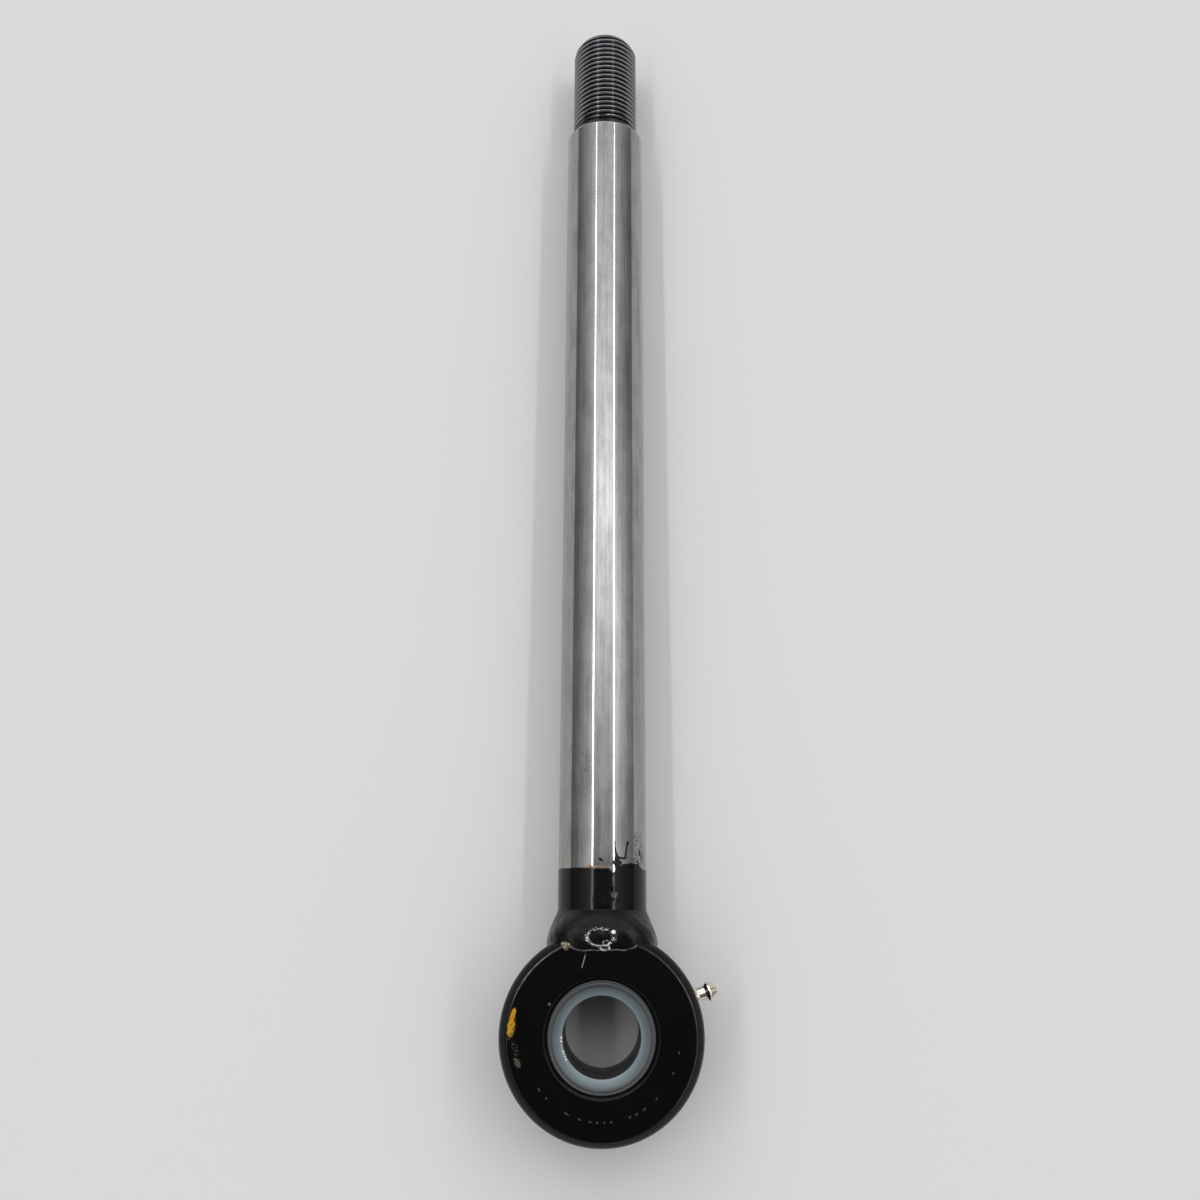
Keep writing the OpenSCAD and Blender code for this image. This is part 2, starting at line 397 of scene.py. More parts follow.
def set_inputs(tree: Tree, node: Node, values: dict[Any, Any]) -> None:
    """Sets or links inputs of a node.

    Args:
        tree: Node tree that holds the node.
        node: The node.
        values: Value, socket or node for each input, by its name or number. A name means the first input
            in use that has it, and a node gives its first result in use.
    """
    for key, value in values.items():
        named = (socket for socket in node.inputs if socket.enabled and socket.name == key)
        socket = node.inputs[key] if isinstance(key, int) else next(named)
        if isinstance(value, Node):
            value = next(result for result in value.outputs if result.enabled)
        if isinstance(value, Socket):
            tree.links.new(value, socket)
        else:
            socket.default_value = value


def add_node(tree: Tree, kind: str, inputs: dict[Any, Any] | None = None, **settings: Any) -> Node:
    """Adds a node with its settings, values and links.

    Args:
        tree: Node tree to add to.
        kind: Type name of the node, without the ShaderNode in front.
        inputs: Value, socket or node for each input, by its name or number.
        settings: Properties of the node itself.

    Returns:
        The new node.
    """
    node = tree.nodes.new("ShaderNode" + kind)
    for key, value in settings.items():
        setattr(node, key, value)
    set_inputs(tree, node, inputs or {})
    return node


def span(low: float, high: float) -> dict[str, float]:
    """Gives the inputs of a Map Range node for the values that it reads between."""
    return {"From Min": low, "From Max": high}


def add_curve(tree: Tree, angle: Node, stops: Stops) -> Node:
    """Adds nodes for a value that runs straight from stop to stop and stays level past both ends.

    Args:
        tree: Node tree to add to.
        angle: Angle in radians that the value depends on.
        stops: Angle in degrees and value at each stop.

    Returns:
        The value.
    """
    total: Any = stops[0][1]
    for (low, start), (high, end) in zip(stops, stops[1:]):
        part = add_node(tree, "MapRange", {
            "Value": angle, **span(math.radians(low), math.radians(high)), "To Max": end - start})
        total = add_node(tree, "Math", {0: total, 1: part})
    return total


@dataclass(frozen=True)
class Mark:
    """A stain, chip or scuff, or a painted glint, at one place of a surface.

    The patch is an ellipsoid. Noise of the grain's size makes its edge ragged, or breaks it into specks or a
    broken line, of which cover is about the share that shows.
    """

    centre: Triple
    half: Triple
    colour: str
    turn_deg: float = 0.0
    ragged: float = 0.5
    grain: float = 0.8
    strength: float = 1.0
    roughness: float = 0.45
    kind: MarkKind = MarkKind.PATCH
    cover: float = 0.3
    line: float = 0.3
    soft_out: float = 0.08
    soft_in: float = 0.12

    def mask(self, tree: Tree, place: Socket) -> Node:
        """Draws where the mark lies.

        Args:
            tree: Node tree to draw in.
            place: Object coordinates.

        Returns:
            A value from 0 outside the mark to its strength inside.
        """
        local = add_node(tree, "Mapping", {
            "Vector": place, "Location": [c / MM for c in self.centre],
            "Rotation": (0, 0, math.radians(self.turn_deg)), "Scale": [h / MM for h in self.half],
        }, vector_type="TEXTURE")
        away = add_node(tree, "VectorMath", {0: local}, operation="LENGTH")
        grain = add_node(tree, "TexNoise", {"Vector": place, "Scale": MM / self.grain, "Detail": 2.0})
        edge = 1 + self.ragged
        if self.kind is MarkKind.PATCH:
            reach = add_node(tree, "Math", {0: grain, 1: 2 * self.ragged, 2: away}, operation="MULTIPLY_ADD")
            return add_node(tree, "MapRange", {
                "Value": reach, **span(edge + self.soft_out, edge - self.soft_in), "To Max": self.strength,
            }, interpolation_type="SMOOTHSTEP")
        # Noise runs mostly from 0.3 to 0.7, so this level leaves about the covered share above it
        level = 0.7 - 0.4 * self.cover
        chosen = add_node(tree, "MapRange", {
            "Value": grain, **span(level, level + self.soft_out), "To Max": self.strength})
        if self.kind is MarkKind.SPECKS:
            spread, outer, inner = away, 1.0, 0.6
        else:
            drift = add_node(tree, "TexNoise", {"Vector": place, "Scale": MM / (2.5 * self.grain)})
            wander = add_node(tree, "Math", {0: drift, 1: 2 * self.ragged, 2: away}, operation="MULTIPLY_ADD")
            off = add_node(tree, "Math", {0: wander, 1: edge}, operation="SUBTRACT")
            spread = add_node(tree, "Math", {0: off}, operation="ABSOLUTE")
            outer = self.line / self.half[1]
            inner = 0.4 * outer
        inside = add_node(tree, "MapRange", {
            "Value": spread, **span(outer, inner)}, interpolation_type="SMOOTHSTEP")
        return add_node(tree, "Math", {0: inside, 1: chosen}, operation="MULTIPLY")


@dataclass
class Coat:
    """Colour, roughness and metal of a surface while its marks are laid over it, one on another."""

    tree: Tree
    place: Socket
    colour: Any
    roughness: Any
    metallic: Any

    def lay(self, marks: Iterable[Mark], bare_metal: bool) -> None:
        """Mixes marks into the surface.

        Args:
            marks: Marks, the undermost first.
            bare_metal: Whether the surface is a metal that the marks cover.
        """
        for mark in marks:
            mask = mark.mask(self.tree, self.place)
            self.colour = add_node(self.tree, "Mix", {
                "Factor": mask, "A": self.colour, "B": linear(mark.colour)}, data_type="RGBA")
            self.roughness = add_node(self.tree, "Mix", {
                "Factor": mask, "A": self.roughness, "B": mark.roughness})
            if bare_metal:
                self.metallic = add_node(self.tree, "Mix", {"Factor": mask, "A": self.metallic, "B": 0.0})


def start_material(name: str) -> tuple[Material, Tree, Node, Socket]:
    """Makes a material with one surface shader.

    Args:
        name: Name of the material.

    Returns:
        The material, its node tree, its shader and its Object coordinates.
    """
    material = bpy.data.materials.new(name)
    material.use_nodes = True
    tree = material.node_tree
    place = add_node(tree, "TexCoord").outputs["Object"]
    return material, tree, tree.nodes["Principled BSDF"], place


@dataclass(frozen=True)
class HardChrome:
    """Hard chrome, ground and polished: a cool grey mirror, drawn out by fine lengthwise streaks.

    Handling leaves cloudy smudges, and rust and paint mist lie along the painted foot. The chrome ends at
    the lead cone, which is dull and painted dark as shade; the thread past it is steel, as cut, with
    painted shade darkening its valleys.
    """

    end_y: float
    thread_r: float
    tint: str = "#a4a5a6"
    dull_tint: str = "#828382"
    cut_tint: str = "#98989b"
    # Painted shade: the lead cone and shoulder take this dark tint, so their rim stays dim
    lead_shade_tint: str = "#58595c"
    # Painted shade: the thread's valleys are mixed towards this dark tint, the crests towards cut_tint
    valley_shade_tint: str = "#343437"
    valley_depth: float = 0.7
    streak_mm: float = 0.9
    streak_run_mm: float = 45.0
    cloud_mm: float = 5.0
    cloud_run_mm: float = 15.0
    smooth: float = 0.035
    dull: float = 0.12
    cut_rough: float = 0.14
    cloud_share: float = 0.55
    haze_range: tuple[float, float] = (0.35, 0.68)
    tarnish_range: tuple[float, float] = (0.42, 0.66)
    streak_bump: float = 0.05
    streak_deep_mm: float = 0.02
    lead_edge_mm: tuple[float, float] = (0.05, 0.3)
    cut_edge_mm: float = 0.2

    def marks(self) -> list[Mark]:
        """Lists what lies on the chrome near the painted foot and a cluster of dirt further up.

        Returns:
            The marks, the undermost first.
        """
        rust, brown, orange, mist, dirt = "#5a4a20", "#7f7448", "#8f5a06", "#121214", "#4a4538"
        stains = (
            ((-2.2, 52.8, 14.8), (5.4, 0.45, 2.0), rust, 0.9, 1.1, 0.5),
            ((-1.2, 52.8, 14.9), (2.2, 0.3, 2.0), orange, 1.0, 0.8, 0.65),
            ((-4.2, 53.0, 14.4), (0.6, 0.6, 2.0), orange, 0.7, 0.7, 0.8),
        )
        specks = (
            ((11.6, 59.0, 9.4), (4.4, 6.5, 6.0), mist, 0.9, 0.55, 0.5),
            ((12.6, 56.5, 8.2), (2.4, 3.6, 5.0), mist, 0.6, 0.9, 0.47),
            ((8.8, 55.0, 12.2), (4.4, 1.6, 4.0), mist, 0.45, 0.85, 0.47),
            ((-6.3, 88.0, 13.5), (2.9, 5.0, 3.0), dirt, 0.8, 0.75, 0.44),
        )
        sprayed = [
            Mark(at, half, colour, grain=grain, strength=strength, kind=MarkKind.SPECKS, cover=cover)
            for at, half, colour, grain, strength, cover in specks]
        rusted = [
            Mark(at, half, colour, ragged=ragged, grain=grain, strength=strength)
            for at, half, colour, ragged, grain, strength in stains]
        haze = Mark((-13.4, 57.0, 6.6), (2.4, 5.0, 4.5), brown, ragged=1.3, grain=2.2, strength=0.3)
        return [haze, *sprayed[:3], *rusted, sprayed[3]]

    def make(self) -> Material:
        """Builds the material.

        Returns:
            The finished material.
        """
        material, tree, shader, place = start_material("hard_chrome_ground")
        streaks, clouds = (
            add_node(tree, "TexNoise", {
                "Vector": add_node(tree, "Mapping", {
                    "Vector": place, "Scale": (MM / width, MM / run, MM / width)}),
                "Scale": 1.0, "Detail": detail, "Roughness": rough})
            for width, run, detail, rough in (
                (self.streak_mm, self.streak_run_mm, 4.0, 0.6),
                (self.cloud_mm, self.cloud_run_mm, 5.0, 0.62)))
        haze = add_node(tree, "Mix", {"Factor": self.cloud_share, "A": streaks, "B": clouds})
        roughness = add_node(tree, "MapRange", {
            "Value": haze, **span(*self.haze_range), "To Min": self.smooth, "To Max": self.dull})
        tarnish = add_node(tree, "MapRange", {"Value": haze, **span(*self.tarnish_range)})
        colour = add_node(tree, "Mix", {
            "Factor": tarnish, "A": linear(self.tint), "B": linear(self.dull_tint)}, data_type="RGBA")
        bump = add_node(tree, "Bump", {
            "Height": streaks, "Strength": self.streak_bump, "Distance": self.streak_deep_mm / MM})
        along = add_node(tree, "SeparateXYZ", {"Vector": place})
        flat = add_node(tree, "VectorMath", {0: place, 1: (1, 0, 1)}, operation="MULTIPLY")
        radius = add_node(tree, "VectorMath", {0: flat}, operation="LENGTH")
        # Painted shade: darker towards the bottom of the thread's valleys, by radius
        crest = add_node(tree, "MapRange", {
            "Value": radius, **span((self.thread_r - self.valley_depth) / MM, self.thread_r / MM)})
        steel = add_node(tree, "Mix", {
            "Factor": crest, "A": linear(self.valley_shade_tint), "B": linear(self.cut_tint)}, data_type="RGBA")
        lead_span = ((self.thread_r + edge) / MM for edge in self.lead_edge_mm)
        # Painted shade: the lead cone is darker, by radius
        lead = add_node(tree, "MapRange", {"Value": radius, **span(*lead_span)})
        steel = add_node(tree, "Mix", {
            "Factor": lead, "A": steel, "B": linear(self.lead_shade_tint)}, data_type="RGBA")
        cut = add_node(tree, "MapRange", {
            "Value": along.outputs["Y"], **span(self.end_y / MM, (self.end_y + self.cut_edge_mm) / MM)})
        colour = add_node(tree, "Mix", {"Factor": cut, "A": colour, "B": steel}, data_type="RGBA")
        roughness = add_node(tree, "Mix", {"Factor": cut, "A": roughness, "B": self.cut_rough})
        coat = Coat(tree, place, colour, roughness, 1.0)
        coat.lay(self.marks(), bare_metal=True)
        set_inputs(tree, shader, {
            "Base Color": coat.colour, "Roughness": coat.roughness, "Metallic": coat.metallic,
            "Normal": bump})
        return material


@dataclass(frozen=True)
class BlackEnamel:
    """Black enamel, sprayed on: a deep gloss with a faint orange peel, slightly blue where light skims it."""

    name: str
    marks: tuple[Mark, ...] = ()
    # An attribute named here mixes in the light tint below: paint wear, and painted highlight lines along
    # edges
    wear_and_highlight_by: str = ""
    wear_and_highlight_tint: str = "#8c8c8a"
    tint: str = "#050506"
    ior: float = 1.28
    peel_mm: float = 1.6
    peel_lift_mm: float = 0.008
    gloss: float = 0.09
    dull: float = 0.17
    haze_mm: float = 9.0
    haze_range: tuple[float, float] = (0.35, 0.7)

    def make(self) -> Material:
        """Builds the material.

        Returns:
            The finished material.
        """
        material, tree, shader, place = start_material(self.name)
        peel = add_node(tree, "TexNoise", {"Vector": place, "Scale": MM / self.peel_mm, "Detail": 2.0})
        haze = add_node(tree, "TexNoise", {"Vector": place, "Scale": MM / self.haze_mm, "Detail": 5.0})
        roughness = add_node(tree, "MapRange", {
            "Value": haze, **span(*self.haze_range), "To Min": self.gloss, "To Max": self.dull})
        bump = add_node(tree, "Bump", {"Height": peel, "Strength": 1.0, "Distance": self.peel_lift_mm / MM})
        coat = Coat(tree, place, linear(self.tint), roughness, 0.0)
        coat.lay(self.marks, bare_metal=False)
        if self.wear_and_highlight_by:
            worn = add_node(tree, "Attribute", attribute_name=self.wear_and_highlight_by).outputs["Fac"]
            coat.colour = add_node(tree, "Mix", {
                "Factor": worn, "A": coat.colour, "B": linear(self.wear_and_highlight_tint)}, data_type="RGBA")
        set_inputs(tree, shader, {
            "Base Color": coat.colour, "Roughness": coat.roughness, "IOR": self.ior, "Normal": bump})
        return material


@dataclass(frozen=True)
class TurnedSteel:
    """Bearing steel, turned: dull ends with fine tool lines, and a bore darkened with painted shade.

    The rounded mouths keep a thin blue zinc plate, with painted shading that lightens it towards the bore,
    and white specks of painted glint lie on the left inner edge.
    """

    bore_r: float
    wall_z: float
    mouth_r: float = 15.3
    tint: str = "#525355"
    # Painted shading across the mouth's rounding: this tint at its outer edge, the next one towards the bore
    plate_shaded_tint: str = "#4e585c"
    plate_lit_tint: str = "#7b8a8f"
    plate_metallic: float = 0.3
    # Painted shade: the bore's wall takes this dark tint
    bore_shade_tint: str = "#2b2b2c"
    # Painted glints: white specks on the left inner edge of the mouth
    marks: tuple[Mark, ...] = tuple(
        Mark(at, half, "#ffffff", turn_deg=turn, grain=0.5, kind=MarkKind.SPECKS, cover=cover)
        for at, half, turn, cover in (
            ((-12.8, -0.6, 16.4), (0.5, 2.6, 1.6), 3, 0.45),
            ((-11.8, -5.2, 16.4), (0.5, 2.8, 1.6), 24, 0.42)))
    line_mm: float = 0.45
    line_range: tuple[float, float] = (0.35, 0.65)
    line_bump: float = 0.4
    line_deep_mm: float = 0.02
    edge_mm: float = 0.1
    lit_edge_mm: float = 0.3
    smooth: float = 0.36
    dull: float = 0.5

    def make(self) -> Material:
        """Builds the material.

        Returns:
            The finished material.
        """
        material, tree, shader, place = start_material("bush_steel_turned")
        flat = add_node(tree, "VectorMath", {0: place, 1: (1, 1, 0)}, operation="MULTIPLY")
        radius = add_node(tree, "VectorMath", {0: flat}, operation="LENGTH")
        height = add_node(tree, "SeparateXYZ", {"Vector": place}).outputs["Z"]
        lines_at = add_node(tree, "CombineXYZ", {"X": radius, "Y": height})
        lines = add_node(tree, "TexNoise", {"Vector": lines_at, "Scale": MM / self.line_mm, "Detail": 3.0})
        level = add_node(tree, "Math", {0: height}, operation="ABSOLUTE")
        # Painted shading: the plate lightens inwards across the mouth's rounding
        inward = add_node(tree, "MapRange", {
            "Value": radius, **span(self.mouth_r / MM, (self.bore_r + self.lit_edge_mm) / MM)})
        plate = add_node(tree, "Mix", {
            "Factor": inward, "A": linear(self.plate_shaded_tint), "B": linear(self.plate_lit_tint)}, data_type="RGBA")
        in_mouth, in_bore = (
            add_node(tree, "MapRange", {
                "Value": value, **span((edge + self.edge_mm) / MM, (edge - self.edge_mm) / MM)})
            for value, edge in ((radius, self.mouth_r), (level, self.wall_z)))
        ends = add_node(tree, "Mix", {
            "Factor": in_mouth, "A": linear(self.tint), "B": plate}, data_type="RGBA")
        # Painted shade: darker inside the bore
        colour = add_node(tree, "Mix", {
            "Factor": in_bore, "A": ends, "B": linear(self.bore_shade_tint)}, data_type="RGBA")
        roughness = add_node(tree, "MapRange", {
            "Value": lines, **span(*self.line_range), "To Min": self.smooth, "To Max": self.dull})
        bump = add_node(tree, "Bump", {
            "Height": lines, "Strength": self.line_bump, "Distance": self.line_deep_mm / MM})
        metallic = add_node(tree, "MapRange", {
            "Value": in_mouth, "To Min": 1.0, "To Max": self.plate_metallic})
        coat = Coat(tree, place, colour, roughness, metallic)
        coat.lay(self.marks, bare_metal=True)
        set_inputs(tree, shader, {
            "Base Color": coat.colour, "Metallic": coat.metallic, "Roughness": coat.roughness,
            "Normal": bump})
        return material


@dataclass(frozen=True)
class BrightMetal:
    """Bright metal of a small part, such as nickel plate or ball steel: a mirror with handling haze."""

    name: str
    tint: str
    dull_tint: str
    grain_mm: float
    smooth: float
    dull: float
    haze_range: tuple[float, float] = (0.35, 0.7)

    def make(self) -> Material:
        """Builds the material.

        Returns:
            The finished material.
        """
        material, tree, shader, place = start_material(self.name)
        haze = add_node(tree, "TexNoise", {"Vector": place, "Scale": MM / self.grain_mm, "Detail": 4.0})
        share = add_node(tree, "MapRange", {"Value": haze, **span(*self.haze_range)})
        colour = add_node(tree, "Mix", {
            "Factor": share, "A": linear(self.tint), "B": linear(self.dull_tint)}, data_type="RGBA")
        roughness = add_node(tree, "MapRange", {"Value": share, "To Min": self.smooth, "To Max": self.dull})
        set_inputs(tree, shader, {"Base Color": colour, "Metallic": 1.0, "Roughness": roughness})
        return material


@dataclass(frozen=True)
class PaleFloor:
    """Matt white board: an even pale grey with no sheen."""

    tint: str = "#dadada"
    roughness: float = 0.75
    sheen: float = 0.2

    def make(self) -> Material:
        """Builds the material.

        Returns:
            The finished material.
        """
        material, tree, shader, _ = start_material("white_board")
        set_inputs(tree, shader, {
            "Base Color": linear(self.tint), "Roughness": self.roughness, "Specular IOR Level": self.sheen})
        return material


# Sub-assemblies


@dataclass
class PistonRod:
    """The turned bar: milled foot, ground length, shoulder, thread and lathe centre."""

    eye_r: float
    columns: int = 180
    pitch: float = 25.4 / 12
    thread_depth: float = 1.3
    shoulder_step: float = 0.3
    lead_len: float = 3.2
    groove_w: float = 0.9
    groove_depth: float = 1.45
    core_depth: float = 6.0
    land_depth: float = 1.0
    run_out: float = 0.9
    tip_taper: float = 3.0
    tip_drop: float = 1.8
    land_r: float = 8.0
    centre_mouth_r: float = 3.5
    centre_pilot_r: float = 1.5
    centre_half_deg: float = 30.0
    centre_depth: float = 6.5
    drill_tip: float = 0.9
    crest_y: float = 363.8
    rod_r: float = field(init=False)
    thread_r: float = field(init=False)
    tip_y: float = field(init=False)
    foot_y: float = field(init=False)
    lead_y: float = field(init=False)

    def __post_init__(self) -> None:
        """Reads the bar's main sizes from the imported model."""
        self.rod_r, self.foot_y, self.lead_y = pin_span("rod_surface")
        self.thread_r = pin_span("rod_thread")[0]
        self.tip_y = float(node_box("piston_rod")[1][1])

    @property
    def shoulder_y(self) -> float:
        """Where the lead cone ends and the shoulder lies."""
        return self.lead_y + self.lead_len

    @property
    def thread_y(self) -> float:
        """Where the groove ends and the thread starts."""
        return self.shoulder_y + self.groove_w

    def bar(self, angles: Array) -> Array:
        """Turned surface from the foot to the groove. The foot is raised onto the eye's cylinder.

        Args:
            angles: Angles of the columns, in radians.

        Returns:
            Points by row and column.
        """
        groove_r = self.thread_r - self.groove_depth
        core_y = self.eye_r - self.core_depth
        profile = rounded([
            (0, core_y), (self.land_r, core_y), (self.land_r, self.eye_r - self.land_depth),
            (self.rod_r, self.foot_y), (self.rod_r, self.lead_y),
            (self.thread_r + self.shoulder_step, self.shoulder_y), (groove_r, self.shoulder_y),
            (groove_r, self.thread_y),
        ], [0, 0, 0, 0.3, 0.2, 0.2, 0.3, 0])
        points = along_rod(turned(profile, angles))
        saddle = np.sqrt(np.maximum(self.eye_r**2 - points[..., 0] ** 2, 0))
        points[..., 1] = np.maximum(points[..., 1], saddle)
        return points

    def thread(self, angles: Array) -> Array:
        """Right-hand screw surface.

        A row keeps its place in the thread's section and falls by one pitch in a turn, so the rows
        follow the crests. The section is a flat crest, two flanks at 30 degrees and a rounded root, and
        its radius is cut off by the run-out at the groove and by the taper at the tip.

        Args:
            angles: Angles of the columns, in radians.

        Returns:
            Points by row and column.
        """
        # Places across one pitch, in sixteenths of it
        section = np.array([-1, 1, 3.5, 6, 7, 8, 9, 10, 12.5]) / 16
        length = self.tip_y - self.thread_y
        turns = np.arange(-1, math.ceil(length / self.pitch) + 2)
        offset = (self.crest_y - self.thread_y) % self.pitch
        row = (turns[:, None] + section).ravel()
        y = self.thread_y + offset + self.pitch * (row[:, None] + 0.25 - angles / math.tau)
        y = np.clip(y, self.thread_y, self.tip_y)
        depth = np.interp(np.abs((row + 0.5) % 1 - 0.5), np.array([1, 6, 7, 8]) / 16, [0, 0.93, 0.985, 1])
        cut_at = [self.thread_y, self.thread_y + self.run_out, self.tip_y - self.tip_taper, self.tip_y]
        cut = np.interp(y, cut_at, [self.groove_depth, 0, 0, self.tip_drop])
        radius = self.thread_r - np.maximum(self.thread_depth * depth[:, None], cut)
        return np.stack([radius * np.cos(angles), y, radius * np.sin(angles)], axis=-1)

    def tip(self, angles: Array) -> Array:
        """End face with the lathe centre, from the taper's rim to the bottom of the pilot drill.

        Args:
            angles: Angles of the columns, in radians.

        Returns:
            Points by row and column.
        """
        cone = (self.centre_mouth_r - self.centre_pilot_r) / math.tan(math.radians(self.centre_half_deg))
        bottom = self.tip_y - self.centre_depth
        profile = rounded([
            (self.thread_r - self.tip_drop, self.tip_y), (self.centre_mouth_r, self.tip_y),
            (self.centre_pilot_r, self.tip_y - cone), (self.centre_pilot_r, bottom),
            (0, bottom - self.drill_tip),
        ], [0, 0.2, 0, 0, 0])
        return along_rod(turned(profile, angles))

    def build(self, chrome: Material) -> None:
        """Makes the bar and dresses it in chrome.

        Args:
            chrome: Finish of the piece.
        """
        angles = full_circle(self.columns)
        full_turn = np.append(angles, math.tau)
        make_piece("piston_rod_bar", [
            grid(self.bar(angles)), grid(self.thread(full_turn), close_columns=False), grid(self.tip(angles)),
        ], chrome, "piston_rod")


@dataclass
class FootPaint:
    """The film of enamel on the rod's foot, with its masked edge, a run of paint and stray drops.

    Lengths round the rod are measured on its surface, from the +X side over the top.
    """

    rod_r: float
    foot_y: float
    film: float = 0.10
    buried: float = 0.05
    edge_soft: float = 0.30
    inner_gap: float = 0.25
    edge_deg: tuple[float, ...] = (-60, 10, 25, 30, 37, 51, 63, 68, 72, 74.5, 78, 82, 105, 154, 200, 260, 300)
    edge_y: tuple[float, ...] = (
        52.6, 52.5, 52.6, 53.2, 54.1, 54.3, 53.9, 53.2, 52.5, 51.2, 51.4, 52.5, 52.65, 52.8, 52.6, 52.9, 52.6)
    # Strokes of paint past the edge: start and end as (length round the rod, Y), and half width
    strokes: tuple[tuple[float, ...], ...] = (
        (19.4, 61.2, 19.25, 59.0, 0.24), (19.25, 59.0, 18.9, 57.2, 0.30), (18.9, 57.2, 18.2, 56.0, 0.38),
        (18.2, 56.0, 15.6, 55.7, 0.34), (15.6, 55.8, 15.2, 57.6, 0.46), (15.2, 57.6, 14.8, 60.6, 0.42),
        (14.7, 60.5, 14.6, 60.9, 0.60), (18.6, 55.8, 18.3, 53.0, 0.95), (19.7, 54.5, 18.9, 53.8, 0.60),
        (17.2, 54.6, 17.0, 53.8, 0.30), (8.9, 58.4, 8.5, 57.2, 0.40), (7.6, 56.6, 7.5, 56.2, 0.30),
        (9.9, 55.2, 9.3, 54.0, 0.36), (24.5, 55.5, 23.8, 55.3, 0.42), (23.7, 55.2, 23.6, 54.8, 0.30),
    )
    # Lumps in the film: length round the rod, Y, reach and height
    lumps: tuple[tuple[float, ...], ...] = (
        (19.7, 46.2, 0.8, 0.05), (19.4, 44.2, 0.8, -0.05), (19.0, 42.6, 0.7, 0.06), (18.2, 43.9, 0.6, 0.05),
        (20.6, 45.2, 0.7, -0.04), (23.0, 41.0, 1.5, 0.03), (28.0, 42.0, 2.0, 0.03), (17.4, 41.2, 1.0, -0.04),
    )

    def film_height(self, around: Array, y: Array) -> Array:
        """Height of the film over the chrome, below 0 where there is no paint.

        Args:
            around: Angle round the rod, in radians.
            y: Place along the rod.

        Returns:
            A smooth step of the distance to the nearest edge, plus a bead along the edge and the lumps.
        """
        length = self.rod_r * around
        edge = np.interp(np.degrees(around), self.edge_deg, self.edge_y)
        edge = edge + 0.06 * np.sin(9 * around + 1) + 0.04 * np.sin(31 * around)
        inside = edge - y
        x0, y0, x1, y1, half = np.array(self.strokes).T[:, :, None, None]
        way = ((length - x0) * (x1 - x0) + (y - y0) * (y1 - y0)) / ((x1 - x0) ** 2 + (y1 - y0) ** 2)
        way = np.clip(way, 0, 1)
        off = np.hypot(length - x0 - way * (x1 - x0), y - y0 - way * (y1 - y0))
        inside = np.maximum(inside, (half - off).max(axis=0))
        at, along, reach, lift = np.array(self.lumps).T[:, :, None, None]
        lump = (lift * np.exp(-((length - at) ** 2 + (y - along) ** 2) / reach**2)).sum(axis=0)
        step = smoothstep(-0.5 * self.edge_soft, self.edge_soft, inside)
        bead = 0.035 * hill(inside, 0.45, 0.35)
        return step * (self.film + self.buried + lump + bead) - self.buried

    def build(self, enamel: Material) -> None:
        """Makes the film as a closed shell: its outer face, then an inner face inside the bar.

        Args:
            enamel: Finish of the piece.
        """
        # Columns lie close where the run of paint is, and rows where the edge is
        fine, coarse = np.arange(12, 100, 0.62), np.arange(100, 371.5, 2.5)
        around = np.radians(np.concatenate([fine, coarse]))
        y = np.concatenate([np.linspace(self.foot_y - 1.2, 50.5, 34), np.linspace(50.7, 61.8, 68)])
        turn = np.where(around > math.radians(self.edge_deg[-1]), around - math.tau, around)
        height = self.film_height(turn[None], y[:, None])
        radius = np.concatenate([self.rod_r + height, np.full((2, around.size), self.rod_r - self.inner_gap)])
        along = np.concatenate([y, [y[-1], y[0]]])[:, None] * np.ones_like(radius)
        points = np.stack([radius * np.cos(around), along, radius * np.sin(around)], axis=-1)
        make_piece("foot_paint", [grid(points, close_rows=True)], enamel)


